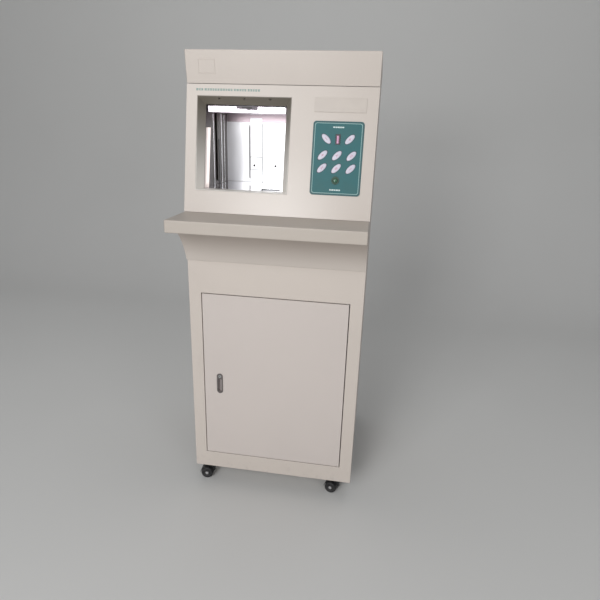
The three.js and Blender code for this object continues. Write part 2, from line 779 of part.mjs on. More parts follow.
function strapTrackStrip() {
  place('strap_track_strip', block(
    [strapSlotX[1], strapSlotX[1] + stripWidth],
    [chamberBackY - gap - plate, chamberBackY - gap],
    [floorZ + gap, floorZ + stripHeight],
  ), polishedSteel);
}

// Press plate: a lipped plate with an ear through each side wall, bushed on the guide columns.
// The right ear also carries the nut of the press screw.
function pressPlate() {
  const x = grow([chamberLeft, chamberRight], -pressClearance);
  const mouthY = onConsole(windowHead, bezelDepth)[0] + pressClearance;
  const y = [mouthY, chamberBackY - gap - plate - pressClearance];
  const lips = [[y[0], y[0] + pressLipThickness], [y[1] - pressLipThickness, y[1]]]
    .map((lipY) => block(x, lipY, [pressZ, pressZ + pressLip]));
  const earY = [columnY - earWidth / 2, columnY + earWidth / 2];
  const earZ = [pressTopZ - 1, pressTopZ + earThickness];
  const ears = [
    block([leftColumnX, x[0] + bushRadius], earY, earZ),
    block([x[1] - bushRadius, rightColumnX], earY, earZ),
    block([rightColumnX - earWidth / 2, rightColumnX + earWidth / 2], [columnY, screwY], earZ),
  ];
  const bushZ = [pressTopZ - 1, pressTopZ + bushHeight];
  const axes = [[leftColumnX, columnY], [rightColumnX, columnY], [rightColumnX, screwY]];
  const bushes = axes.map((axis) => rodZ(bushRadius, axis, bushZ));
  const bores = axes.map((axis, index) => rodZ((index < 2 ? guideRadius : screwRadius) + gap, axis,
    [pressZ - 1, bushZ[1] + 1]));
  const slotLeft = (x[0] + x[1]) / 2;
  const strapSlot = block(
    [slotLeft, slotLeft + pressSlotWidth],
    [y[0] - 1, y[0] + 2 * pressLipThickness],
    [pressTopZ + 1, pressTopZ + 1 + pressSlotHeight],
  );
  place('press_plate', cut(
    join(block(x, y, [pressZ, pressTopZ]), ...lips, ...ears, ...bushes),
    ...bores,
    strapSlot,
  ), polishedSteel);
}

const columnZ = [deckZ + plate + gap, bridgeZ - gap];

function guideColumns() {
  place('guide_column_left', rodZ(guideRadius, [leftColumnX, columnY], columnZ), groundSteel);
  place('guide_column_right', rodZ(guideRadius, [rightColumnX, columnY], columnZ), groundSteel);
}

function pressScrew() {
  place('press_screw', rodZ(screwRadius, [rightColumnX, screwY], columnZ), groundSteel);
}

function pressBridge() {
  place('press_bridge', block(
    [leftColumnX - bridgeMargin / 2, rightColumnX + bridgeMargin],
    [columnY - bridgeMargin, screwY + bridgeMargin],
    [bridgeZ, bridgeZ + bridgeThickness],
  ), zincSteel);
}

// Gear motor under the deck, in line with the press screw.
function pressMotor() {
  const half = motorWidth / 2;
  const top = deckZ - gap;
  place('press_motor', join(
    block([rightColumnX - half, rightColumnX + half], [screwY - half, screwY + half],
      [top - motorHeight / 3, top]),
    rodZ(half - gap, [rightColumnX, screwY], [top - motorHeight, top - motorHeight / 3 + 1], 32),
    rodZ(motorShaftRadius, [rightColumnX, screwY], [top - 1, deckZ + plate]),
  ), motorPaint);
}

// Strap head under the cut-out in the chamber floor: two cheeks with the feed wheels between them.
const headFrameX = [headX[1] - headWidth, headX[1]];
const headFrameY = [headY[0] - headPlate, headY[0] - headPlate + headDepth];
const headFrameZ = [deckZ + plate + gap, floorZ - plate - gap];
const nipZ = (headFrameZ[0] + headFrameZ[1]) / 2;
const feedX = headFrameX[0] + headPlate + feedRadius;
const pressureX = feedX + feedRadius + nipGap + pressureRadius;

function strapHeadFrame() {
  const cheeks = [
    block(headFrameX, [headFrameY[0], headFrameY[0] + headPlate], headFrameZ),
    block(headFrameX, [headFrameY[1] - headPlate, headFrameY[1]], headFrameZ),
  ];
  const floor = block(headFrameX, headFrameY, [headFrameZ[0], headFrameZ[0] + headPlate]);
  const anvil = block([headFrameX[1] - 2 * headPlate, headFrameX[1]], headFrameY, headFrameZ);
  const axleHoles = [feedX, pressureX].map((x) => rodY(headAxle + gap, [x, nipZ],
    grow(headFrameY, 1), 16));
  place('strap_head_frame', cut(join(floor, ...cheeks, anvil), ...axleHoles), groundSteel);
}

function feedWheels() {
  const middle = (headFrameY[0] + headFrameY[1]) / 2;
  const wheel = (radius, x) => join(
    rodY(radius, [x, nipZ], [middle - wheelWidth / 2, middle + wheelWidth / 2], 24),
    rodY(headAxle, [x, nipZ], headFrameY, 16),
  );
  place('feed_wheel', wheel(feedRadius, feedX), greyCasting);
  place('pressure_wheel', wheel(pressureRadius, pressureX), groundSteel);
}

// ---------------------------------------------------------------- strap supply and electrics

const reelAxis = [frontY + reelY, baseZ + reelRise];
const standX = reelWidth / 2 + standClearance;

function reelStand() {
  const floorTop = baseZ + sheet + gap;
  const y = [reelAxis[0] - standWidth / 2, reelAxis[0] + standWidth / 2];
  const uprightTop = reelAxis[1] + 2 * reelAxle;
  place('reel_stand', join(
    block([-standX - standPlate, standX + standPlate], y, [floorTop, floorTop + standPlate]),
    block([-standX - standPlate, -standX], y, [floorTop, uprightTop]),
    block([standX, standX + standPlate], y, [floorTop, uprightTop]),
    rodX(reelAxle, reelAxis, [-standX - 2 * standPlate, standX + 2 * standPlate]),
  ), zincSteel);
}

// Reel with two flanges and the strap wound on its core.
function strapReel() {
  const half = reelWidth / 2;
  const wound = reelRadius - 18;
  const bore = reelAxle + gap;
  const profile = [
    [bore, -half],
    [reelRadius, -half],
    [reelRadius, reelFlange - half],
    [wound, reelFlange - half],
    [wound, half - reelFlange],
    [reelRadius, half - reelFlange],
    [reelRadius, half],
    [bore, half],
    [bore, -half],
  ].map(([radius, along]) => new THREE.Vector2(radius, along));
  const reel = new THREE.LatheGeometry(profile, 40).rotateZ(-Math.PI / 2);
  place('strap_reel', reel, strapPaper).position.set(0, ...reelAxis);
}

// Sheet-metal box for the control electronics, with a slot for its cables.
function controlBox() {
  const x = [innerHalf - boxInset - boxWidth, innerHalf - boxInset];
  const y = [backY - sheet - boxInset - boxDepth, backY - sheet - boxInset];
  const z = [deckZ + plate + gap, deckZ + plate + gap + boxHeight];
  place('control_box', cut(
    block(x, y, z),
    block(grow(x, -sheet), grow(y, -sheet), grow(z, -sheet)),
    block([x[0] + boxInset, x[0] + boxWidth / 2], [y[0] - 1, y[0] + 2 * sheet],
      [z[0] + boxInset, z[0] + 2 * boxInset]),
  ), zincSteel);
}

// Mains inlet in the back panel: a flange outside, a socket below and a rocker switch above.
function powerInlet() {
  const middle = baseZ + inletRise;
  const halfX = inletWidth / 2;
  const halfZ = inletHeight / 2;
  const rimY = [backY + gap, backY + gap + inletWall];
  const rim = block([inletX - halfX, inletX + halfX], rimY, [middle - halfZ, middle + halfZ]);
  const body = block(
    grow([inletX - halfX, inletX + halfX], -inletFlange),
    [backY - inletDepth, backY + gap + 1],
    grow([middle - halfZ, middle + halfZ], -inletFlange),
  );
  const socketZ = middle - socketDrop;
  const socket = block([inletX - socketWidth / 2, inletX + socketWidth / 2],
    [rimY[1] - socketDepth, rimY[1] + 1], [socketZ - socketHeight / 2, socketZ + socketHeight / 2]);
  const switchZ = middle + switchRise;
  const switchBay = block(
    grow([inletX - switchWidth / 2, inletX + switchWidth / 2], switchGap),
    [rimY[1] - switchDepth - 2 * switchGap, rimY[1] + 1],
    grow([switchZ - switchHeight / 2, switchZ + switchHeight / 2], switchGap),
  );
  place('power_inlet', cut(join(rim, body), socket, switchBay), blackPlastic);
  const rocker = place('power_switch', new THREE.BoxGeometry(switchWidth, switchDepth, switchHeight),
    blackPlastic);
  rocker.position.set(inletX, rimY[1] + switchProud - switchDepth / 2, switchZ);
  rocker.rotation.x = switchTilt;
}

// ---------------------------------------------------------------- castors

const hoodShellRadius = wheelRadius + hoodShellClearance + hoodShellWall;
const hoodTop = baseZ - gap - castorPlateThickness - gap;
const pinFoot = wheelRadius + hoodShellRadius - 4;

// Each castor is drawn with its swivel axis at the middle of its own group and its wheels ahead.
function castor({ name, side, end, turn }) {
  const group = new THREE.Group();
  const y = end === 'front' ? frontY + castorEndInset : backY - castorEndInset;
  group.position.set(side * (halfWidth - castorSideInset), y, 0);
  group.rotation.z = THREE.MathUtils.degToRad(turn);
  cabinet.add(group);

  const half = castorPlateSize / 2;
  place(`castor_plate_${name}`, join(
    block([-half, half], [-half, half], [baseZ - gap - castorPlateThickness, baseZ - gap]),
    rodZ(kingpinRadius, [0, 0], [pinFoot, baseZ - gap - 1], 16),
  ), zincSteel).position.copy(group.position);

  const axle = [-castorTrail, wheelRadius];
  const shellHalf = webWidth / 2 + webGap + wheelTread;
  const shellOuter = rodX(hoodShellRadius, axle, [-shellHalf, shellHalf], 32);
  const shellInner = rodX(hoodShellRadius - hoodShellWall, axle, [-shellHalf - 1, shellHalf + 1], 32);
  const lowerSpace = block([-shellHalf - 1, shellHalf + 1], [axle[0] - 2 * hoodShellRadius, hoodShellRadius],
    [-hoodShellRadius, axle[1] + wheelAxle]);
  const web = cut(
    rodX(hoodShellRadius - 1, axle, [-webWidth / 2, webWidth / 2], 32),
    block([-webWidth, webWidth], [axle[0] - 2 * hoodShellRadius, hoodShellRadius],
      [-hoodShellRadius, axle[1] - 2 * wheelAxle - gap]),
  );
  const boss = cut(
    rodZ(hoodBossRadius, [0, 0], [axle[1] + wheelAxle, hoodTop], 24),
    rodX(hoodShellRadius - 1, axle, [-shellHalf - 1, -webWidth / 2], 32),
    rodX(hoodShellRadius - 1, axle, [webWidth / 2, shellHalf + 1], 32),
  );
  place(`castor_hood_${name}`, cut(
    join(cut(shellOuter, shellInner, lowerSpace), web, boss),
    rodX(wheelAxle + gap, axle, [-webWidth, webWidth], 16),
    rodZ(kingpinRadius + gap, [0, 0], [pinFoot - gap, baseZ], 16),
  ), blackPlastic, group);

  const treads = [-1, 1].map((way) => {
    const near = webWidth / 2 + webGap;
    const x = way < 0 ? [-near - wheelTread, -near] : [near, near + wheelTread];
    return rodX(wheelRadius, axle, x, 32);
  });
  place(`castor_wheels_${name}`, join(
    rodX(wheelAxle, axle, [-shellHalf + 1, shellHalf - 1], 16),
    ...treads,
  ), blackPlastic, group);
}

// ---------------------------------------------------------------- assembly

basePan();
sidePanel('left_side_panel', -1);
sidePanel('right_side_panel', 1);
backPanel();
frontFrame();
coveApron();
shelf();
topCover();
lidHinge();

cabinetDoor();
doorHingeRod();
doorPull();
lockCam();

consolePanel();
windowBezel();
namePlate();
keypadPlate();
keypadKeys();
displayWindow();
startButton();

deckPlate();
chamberFloor();
chamberWall('chamber_left_wall', [chamberLeft - plate, chamberLeft]);
chamberWall('chamber_right_wall', [chamberRight, chamberRight + plate]);
chamberBackWall();
strapTrackStrip();
pressPlate();
guideColumns();
pressScrew();
pressBridge();
pressMotor();
strapHeadFrame();
feedWheels();

reelStand();
strapReel();
controlBox();
powerInlet();
castors.forEach(castor);

export default cabinet;
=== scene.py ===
import json
import math

import bmesh
import bpy
from mathutils import Matrix, Vector


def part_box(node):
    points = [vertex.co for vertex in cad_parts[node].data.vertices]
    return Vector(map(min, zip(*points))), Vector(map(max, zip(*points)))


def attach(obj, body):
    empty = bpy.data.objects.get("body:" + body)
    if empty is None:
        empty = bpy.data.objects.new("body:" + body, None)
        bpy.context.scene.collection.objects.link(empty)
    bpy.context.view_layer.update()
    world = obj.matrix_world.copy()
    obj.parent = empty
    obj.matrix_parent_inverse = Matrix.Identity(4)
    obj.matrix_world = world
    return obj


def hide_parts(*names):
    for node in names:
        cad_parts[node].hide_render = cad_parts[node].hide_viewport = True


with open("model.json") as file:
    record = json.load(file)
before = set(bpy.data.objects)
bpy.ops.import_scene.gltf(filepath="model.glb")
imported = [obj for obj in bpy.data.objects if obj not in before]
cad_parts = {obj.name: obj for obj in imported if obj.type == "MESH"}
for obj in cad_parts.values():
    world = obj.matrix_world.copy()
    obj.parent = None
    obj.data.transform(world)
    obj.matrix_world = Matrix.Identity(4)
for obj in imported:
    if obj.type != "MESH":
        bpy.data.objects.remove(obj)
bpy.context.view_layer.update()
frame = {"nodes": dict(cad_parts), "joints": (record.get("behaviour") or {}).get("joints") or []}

# ---------------------------------------------------------------- camera
# The machine is looked down on from a standing person's eye height, a little to its right,
# through a moderately wide lens.
front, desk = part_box("front_frame")[0].y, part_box("shelf")[1].z
lens = bpy.data.cameras.new("camera")
lens.sensor_width = 36
lens.lens = 29.6
camera = bpy.data.objects.new("camera", lens)
camera.matrix_world = (
    Matrix.Translation((0.250, front - 1.2361, desk + 0.2097))
    @ Matrix.Rotation(0.144, 4, "Z")
    @ Matrix.Rotation(math.pi / 2 - 0.332, 4, "X")
    @ Matrix.Rotation(0.032, 4, "Z")
)
bpy.context.scene.collection.objects.link(camera)
bpy.context.scene.camera = camera
bpy.context.scene.view_settings.view_transform = "Standard"


# ---------------------------------------------------------------- room
# A pale floor that sweeps up into a pale wall behind the machine. Soft light comes from the
# front, and weaker light from the right and from above.
def linked(name, mesh):
    piece = bpy.data.objects.new(name, mesh)
    bpy.context.scene.collection.objects.link(piece)
    return piece


class Wire:
    """One socket of a node graph, written in sums as the number that it carries."""

    def __init__(self, graph, socket):
        self.graph, self.socket = graph, socket

    def maths(self, operation, *terms):
        return self.graph.node("ShaderNodeMath", {"operation": operation}, dict(enumerate(terms)))

    def __add__(self, other):
        return self.maths("ADD", self, other)

    def __radd__(self, other):
        return self.maths("ADD", other, self)

    def __sub__(self, other):
        return self.maths("SUBTRACT", self, other)

    def __rsub__(self, other):
        return self.maths("SUBTRACT", other, self)

    def __mul__(self, other):
        return self.maths("MULTIPLY", self, other)

    def __rmul__(self, other):
        return self.maths("MULTIPLY", other, self)

    def __pow__(self, other):
        return self.maths("POWER", self, other)

    def between(self, low, high):
        """0 below low, 1 above high, and a smooth rise in between."""
        settings = {"interpolation_type": "SMOOTHSTEP"}
        return self.graph.node("ShaderNodeMapRange", settings, {0: self, 1: low, 2: high})


class Graph:
    """A node tree whose nodes are added by type, with settings first and sockets after them."""

    def __init__(self, tree):
        self.tree = tree

    def node(self, kind, settings=None, sockets=None, output=0):
        made = self.tree.nodes.new(kind)
        for name, value in (settings or {}).items():
            setattr(made, name, value)
        for key, value in (sockets or {}).items():
            for one in value if isinstance(value, list) else [value]:
                self.feed(made.inputs[key], one)
        return Wire(self, made.outputs[output])

    def feed(self, socket, value):
        if isinstance(value, Wire):
            self.tree.links.new(value.socket, socket)
        else:
            socket.default_value = value


class Finish(Graph):
    """The surface of a piece: one glossy shader, and what varies it from place to place."""

    def __init__(self, name, colour, roughness, metallic=0.0):
        self.material = bpy.data.materials.new(name)
        self.material.use_nodes = True
        super().__init__(self.material.node_tree)
        self.shader = self.tree.nodes["Principled BSDF"]
        self.give("Base Color", (*colour, 1.0))
        self.give("Roughness", roughness)
        self.give("Metallic", metallic)
        self.places = self.node("ShaderNodeTexCoord", output="Object")

    def give(self, socket, value):
        self.feed(self.shader.inputs[socket], value)

    def height(self):
        return self.node("ShaderNodeSeparateXYZ", {}, {0: self.places}, output=2)

    def noise(self, scale, detail=2.0, stretch=(1, 1, 1)):
        spread = self.node("ShaderNodeMapping", {}, {"Vector": self.places, "Scale": stretch})
        return self.node("ShaderNodeTexNoise", {},
                         {"Vector": spread, "Scale": scale, "Detail": detail})

    def mix(self, share, first, second):
        first, second = ((*c, 1.0) if isinstance(c, tuple) else c for c in (first, second))
        return self.node("ShaderNodeMix", {"data_type": "RGBA"}, {0: share, 6: first, 7: second},
                         output=2)

    def bump(self, relief, depth, strength=1.0):
        sockets = {"Height": relief, "Distance": depth, "Strength": strength}
        self.give("Normal", self.node("ShaderNodeBump", {}, sockets))


def plain_backdrop():
    paper = Finish("backdrop_paper", (0.64, 0.64, 0.63), 0.9)
    cloud = paper.noise(1.5)
    paper.give("Base Color", paper.mix(cloud, (0.63, 0.63, 0.62), (0.66, 0.66, 0.65)))
    half_width, near, wall, bend = 14.0, -14.0, 2.6, 1.2
    steps = 16
    section = [(near, 0.0)]
    for i in range(steps + 1):
        turn = math.pi / 2 * i / steps
        section.append((wall - bend + bend * math.sin(turn), bend - bend * math.cos(turn)))
    section.append((wall, 5.0))
    points = [(side * half_width, y, z) for y, z in section for side in (-1, 1)]
    faces = [(2 * i, 2 * i + 1, 2 * i + 3, 2 * i + 2) for i in range(len(section) - 1)]
    mesh = bpy.data.meshes.new("backdrop")
    mesh.from_pydata(points, [], faces)
    mesh.shade_smooth()
    mesh.materials.append(paper.material)
    linked("backdrop", mesh)


def soft_light(name, place, towards, size, power):
    lamp = bpy.data.lights.new(name, "AREA")
    lamp.shape = "RECTANGLE"
    lamp.size, lamp.size_y = size
    lamp.energy = power
    light = linked(name, lamp)
    light.location = place
    light.rotation_euler = (Vector(towards) - Vector(place)).to_track_quat("-Z", "Y").to_euler()


plain_backdrop()
soft_light("high_light", (-1.3, -4.4, 3.1), (0, -0.2, 0.7), (2.4, 2.0), 72)
soft_light("window_light", (-0.62, -3.25, 1.38), (0, -0.2, 0.85), (0.7, 0.5), 24)
soft_light("low_light", (-1.15, -3.6, 1.0), (-0.1, -0.2, 0.6), (1.9, 1.6), 14)
soft_light("side_light", (1.9, -2.6, 1.3), (-0.1, -0.1, 0.9), (1.2, 1.2), 15)
soft_light("ceiling_light", (0.0, 0.4, 3.6), (0, 0, 0.6), (3.0, 3.0), 20)
world = bpy.data.worlds.new("room")
world.use_nodes = True
world.node_tree.nodes["Background"].inputs[0].default_value = (0.97, 0.98, 1.0, 1.0)
world.node_tree.nodes["Background"].inputs[1].default_value = 0.20
bpy.context.scene.world = world


# ---------------------------------------------------------------- cabinet sheets
# The cabinet is folded from 1.5 mm steel sheet and powder coated cream. Folds are a little rounded,
# cut edges are only deburred, and the coat has a fine orange peel.
CREAM = (0.585, 0.525, 0.476)


def powder_coat(name, colour, roughness=0.30):
    paint = Finish(name, colour, roughness)
    cloud = paint.noise(2.2, 3.0)
    speckle = paint.noise(160, 2.0)
    scuffs = (1 - paint.height().between(0.04, 0.13)) * paint.noise(60, 4.0).between(0.5, 0.75)
    tint = paint.mix(cloud.between(0.3, 0.7), colour, tuple(0.95 * c for c in colour))
    tint = paint.mix(speckle.between(0.62, 0.8) * 0.35, tint, tuple(1.07 * c for c in colour))
    tint = paint.mix(scuffs * 0.35, tint, tuple(0.6 * c for c in colour))
    paint.give("Base Color", tint)
    paint.give("Roughness", roughness + cloud * 0.12 + scuffs * 0.25)
    paint.bump(paint.noise(950, 2.0), 0.00006, 0.7)
    return paint.material


cream = powder_coat("cream_powder_coat", CREAM)
console_coat = powder_coat("console_powder_coat", CREAM, 0.23)


def fit(piece, body, slot, finish, *stands_for):
    piece.data.materials.clear()
    piece.data.materials.append(finish)
    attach(piece, body)
    if stands_for:
        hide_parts(*stands_for)
    return piece


def applied(piece):
    """Turns a piece with modifiers into a plain mesh."""
    seen = piece.evaluated_get(bpy.context.evaluated_depsgraph_get())
    finished = bpy.data.meshes.new_from_object(seen)
    piece.modifiers.clear()
    piece.data = finished
    return piece


def shaded(piece):
    """Smooth shading in which each large flat face stays flat right up to its rounded edges."""
    piece.data.shade_smooth()
    piece.data.set_sharp_from_angle(angle=math.radians(50))
    weighted = piece.modifiers.new("normals", "WEIGHTED_NORMAL")
    weighted.weight = 80
    weighted.keep_sharp = True
    return applied(piece)


def face_width(face):
    return face.calc_area() / max(edge.calc_length() for edge in face.edges)


def worked(node, name, fold=0.0022, edge=0.0004, wide=0.006, long=0.03, segments=3):
    """A copy of a CAD node with its long folds rounded and its other edges broken."""
    shape = bmesh.new()
    shape.from_mesh(frame["nodes"][node].data)
    bmesh.ops.remove_doubles(shape, verts=shape.verts, dist=1e-5)
    bmesh.ops.dissolve_limit(shape, angle_limit=math.radians(1), verts=shape.verts,
                             edges=shape.edges)
    weight = shape.edges.layers.float.new("bevel_weight_edge")
    for side in shape.edges:
        if len(side.link_faces) != 2 or side.calc_face_angle(0) < math.radians(24):
            continue
        both_wide = min(face_width(face) for face in side.link_faces) > wide
        is_fold = both_wide and side.calc_length() > long and side.is_convex
        side[weight] = 1.0 if is_fold else edge / fold
    mesh = bpy.data.meshes.new(name)
    shape.to_mesh(mesh)
    shape.free()
    piece = linked(name, mesh)
    bevel = piece.modifiers.new("edges", "BEVEL")
    bevel.limit_method = "WEIGHT"
    bevel.width = fold
    bevel.segments = segments
    bevel.use_clamp_overlap = False
    return shaded(applied(piece))


for node, body in (
    ("base_pan", "cabinet"),
    ("left_side_panel", "cabinet"),
    ("right_side_panel", "cabinet"),
    ("back_panel", "cabinet"),
    ("front_frame", "cabinet"),
    ("console_panel", "cabinet"),
    ("top_cover", "lid"),
):
    fold = 0.0012 if node == "front_frame" else 0.0022
    coat = console_coat if node == "console_panel" else cream
    fit(worked(node, f"{node}_sheet", fold), body, "cream_paint", coat, node)


# ---------------------------------------------------------------- shelf and cove
# The shelf is a deep folded box with a rounded nose. The cove under it is one sheet rolled to an
# arc, with flat cheeks welded to its ends. Each has a cream coat of its own. The shelf's is a darker
# copy of the cabinet's cream, as painted shade, and the cove's is toned darker with height, to stand
# in for shadow.
def carve(piece, cutter):
    """Cuts one closed shape out of another, and drops the cutter."""
    cut = piece.modifiers.new("cut", "BOOLEAN")
    cut.operation = "DIFFERENCE"
    cut.solver = "EXACT"
    cut.object = cutter
    applied(piece)
    bpy.data.objects.remove(cutter)
    return piece


def prism(name, outline, start, end):
    """A flat outline, given as 3-D points, drawn out from start to end."""
    count = len(outline)
    points = [Vector(p) + start for p in outline] + [Vector(p) + end for p in outline]
    faces = [tuple(range(count)), tuple(reversed(range(count, 2 * count)))]
    faces += [(i, i + count, (i + 1) % count + count, (i + 1) % count) for i in range(count)]
    mesh = bpy.data.meshes.new(name)
    mesh.from_pydata(points, [], faces)
    shape = bmesh.new()
    shape.from_mesh(mesh)
    bmesh.ops.recalc_face_normals(shape, faces=shape.faces)
    shape.to_mesh(mesh)
    shape.free()
    return linked(name, mesh)


def softened(piece, radius, segments=2, angle=28):
    bevel = piece.modifiers.new("edges", "BEVEL")
    bevel.limit_method = "ANGLE"
    bevel.angle_limit = math.radians(angle)
    bevel.width = radius
    bevel.segments = segments
    return shaded(applied(piece))


def cove_section(low, high, radius, inset, steps=40):
    """The cove's arc in Y and Z from its foot to its head, moved back by inset."""
    foot = Vector((front - 0.0065, low.z))
    head = Vector((low.y, high.z))
    middle, half = (foot + head) / 2, (head - foot) / 2
    aside = Vector((-half.y, half.x)).normalized()
    centre = middle + aside * math.sqrt(radius ** 2 - half.length_squared)
    start = math.atan2(*(foot - centre).yx)
    end = math.atan2(*(head - centre).yx)
    turns = [start + (end - start) * i / steps for i in range(steps + 1)]
    reach = radius + inset
    return [centre + reach * Vector((math.cos(t), math.sin(t))) for t in turns]


def cove():
    low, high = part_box("cove_apron")
    wall = 0.0015
    across = Vector((high.x, 0, 0))
    outer = cove_section(low, high, 0.191, 0.0)
    outer += [Vector((high.y, high.z)), Vector((high.y, low.z))]
    inner = [p for p in cove_section(low, high, 0.191, wall) if low.z + wall < p.y < high.z - wall]
    inner = [Vector((inner[0].x, low.z + wall)), *inner, Vector((inner[-1].x, high.z - wall))]
    inner += [Vector((high.y + wall, high.z - wall)), Vector((high.y + wall, low.z + wall))]
    shell = prism("cove_sheet", [(0, p.x, p.y) for p in outer], -across, across)
    inwards = across - Vector((wall, 0, 0))
    hollow = prism("cove_hollow", [(0, p.x, p.y) for p in inner], -inwards, inwards)
    coat = Finish("cove_powder_coat", CREAM, 0.36)
    under_shelf = coat.height().between(low.z, high.z)
    coat.give("Base Color", coat.mix(under_shelf, (0.555, 0.50, 0.455), (0.39, 0.335, 0.295)))
    coat.give("Roughness", 0.30 + coat.noise(2.2, 3.0) * 0.12)
    coat.bump(coat.noise(950, 2.0), 0.00006, 0.7)
    fit(softened(carve(shell, hollow), 0.0006), "cabinet", "cream_paint", coat.material,
        "cove_apron")


# The shelf's coat is a darker copy of the cabinet's cream: painted shade.
shelf_shaded_coat = powder_coat("shelf_powder_coat", (0.485, 0.434, 0.384))
fit(worked("shelf", "shelf_sheet", fold=0.0030, segments=4), "cabinet", "cream_paint", shelf_shaded_coat,
    "shelf")
cove()


# ---------------------------------------------------------------- screws
# Pan-head screws with a cross recess, zinc plated. They hold the back panel, the hinge, the bridge
# and the plates inside. Each stands at a point and faces along its own direction.
def zinc_plate(name, colour, roughness):
    zinc = Finish(name, colour, roughness, 1.0)
    bloom = zinc.noise(70, 3.0)
    zinc.give("Base Color", zinc.mix(bloom, colour, tuple(0.8 * c for c in colour)))
    zinc.give("Roughness", roughness + bloom * 0.18)
    zinc.bump(zinc.noise(1400), 0.00002, 0.5)
    return zinc.material


zinc = zinc_plate("zinc_plate", (0.56, 0.57, 0.56), 0.30)


class Pattern(Graph):
    """A Geometry Nodes tree with named inputs, which ends in real geometry with one finish."""

    def __init__(self, name, inputs):
        tree = bpy.data.node_groups.new(name, "GeometryNodeTree")
        super().__init__(tree)
        tree.interface.new_socket("Geometry", in_out="INPUT", socket_type="NodeSocketGeometry")
        self.sockets = {}
        for label, kind, value in (*inputs, ("Finish", "NodeSocketMaterial", None)):
            socket = tree.interface.new_socket(label, in_out="INPUT", socket_type=kind)
            if value is not None:
                socket.default_value = value
            self.sockets[label] = socket.identifier
        tree.interface.new_socket("Geometry", in_out="OUTPUT", socket_type="NodeSocketGeometry")
        self.entry = tree.nodes.new("NodeGroupInput")

    def take(self, label):
        return Wire(self, self.entry.outputs[label])

    def vector(self, x, y, z):
        return self.node("ShaderNodeCombineXYZ", {}, {0: x, 1: y, 2: z})

    def end(self, geometry):
        real = self.node("GeometryNodeRealizeInstances", {}, {0: geometry})
        painted = self.node("GeometryNodeSetMaterial", {},
                            {0: real, "Material": self.take("Finish")})
        self.feed(self.tree.nodes.new("NodeGroupOutput").inputs[0], painted)

    def grown(self, name, points, facings, finish, **values):
        """A plain mesh of the pattern on these points, each turned to face its own way."""
        mesh = bpy.data.meshes.new(name)
        mesh.from_pydata([tuple(p) for p in points], [], [])
        facing = mesh.attributes.new("facing", "FLOAT_VECTOR", "POINT")
        facing.data.foreach_set("vector", [c for f in facings for c in f])
        piece = linked(name, mesh)
        nodes = piece.modifiers.new("pattern", "NODES")
        nodes.node_group = self.tree
        nodes[self.sockets["Finish"]] = finish
        for label, value in values.items():
            nodes[self.sockets[label.replace("_", " ").title()]] = value
        return applied(piece)

    def on_points(self, instance, turn=None):
        """Places an instance on each point, with its Z axis along the point's facing."""
        facing = self.node("GeometryNodeInputNamedAttribute", {"data_type": "FLOAT_VECTOR"},
                           {"Name": "facing"})
        upright = self.node("FunctionNodeAlignRotationToVector", {"axis": "Z"}, {"Vector": facing})
        if turn is not None:
            spun = self.node("FunctionNodeAxisAngleToRotation", {},
                             {"Axis": (0, 0, 1), "Angle": turn})
            upright = self.node("FunctionNodeRotateRotation", {"rotation_space": "LOCAL"},
                                {0: upright, 1: spun})
        sockets = {"Points": self.take("Geometry"), "Instance": instance, "Rotation": upright}
        return self.node("GeometryNodeInstanceOnPoints", {}, sockets)


def screw_pattern():
    heads = Pattern("screw_heads", (
        ("Head Radius", "NodeSocketFloat", 0.003),
        ("Head Height", "NodeSocketFloat", 0.0018),
        ("Seed", "NodeSocketInt", 7),
    ))
    radius, height = heads.take("Head Radius"), heads.take("Head Height")
    ball = heads.node("GeometryNodeMeshUVSphere", {}, {"Segments": 20, "Rings": 10, "Radius": 1.0})
    dome = heads.node("GeometryNodeTransform", {},
                      {"Geometry": ball, "Scale": heads.vector(radius, radius, height)})
    bars = []
    for quarter in (0.0, math.pi / 2):
        bar = heads.node("GeometryNodeMeshCube", {},
                         {"Size": heads.vector(radius * 1.1, radius * 0.24, height * 1.0)})
        bars.append(heads.node("GeometryNodeTransform", {}, {
            "Geometry": bar,
            "Translation": heads.vector(0.0, 0.0, height * 0.95),
            "Rotation": (0.0, 0.0, quarter),
        }))
    head = heads.node("GeometryNodeMeshBoolean", {"operation": "DIFFERENCE", "solver": "EXACT"},
                      {"Mesh 1": dome, "Mesh 2": bars})
    turn = heads.node("FunctionNodeRandomValue", {"data_type": "FLOAT"},
                      {"Min": 0.0, "Max": math.pi, "Seed": heads.take("Seed")}, output=1)
    heads.end(heads.on_points(head, turn))
    return heads


screws = screw_pattern()


def screw_row(name, body, places, radius=0.003, height=0.0018, finish=zinc, slot="zinc_steel"):
    points, facings = zip(*places)
    piece = screws.grown(name, points, facings, finish, head_radius=radius, head_height=height)
    fit(piece, body, slot, finish)


def back_screws():
    low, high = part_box("back_panel")
    inset, columns, rows = 0.009, 3, 6
    across = [low.x + inset + (high.x - low.x - 2 * inset) * i / (columns - 1) for i in range(columns)]
    upright = [low.z + inset + (high.z - 0.04 - low.z - inset) * i / (rows - 1) for i in range(rows)]
    places = [((x, high.y, z), (0, 1, 0)) for x in across for z in upright
              if x != across[1] or z in (upright[0], upright[-1])]
    screw_row("back_panel_screws", "cabinet", places, 0.0034, 0.0020)


back_screws()


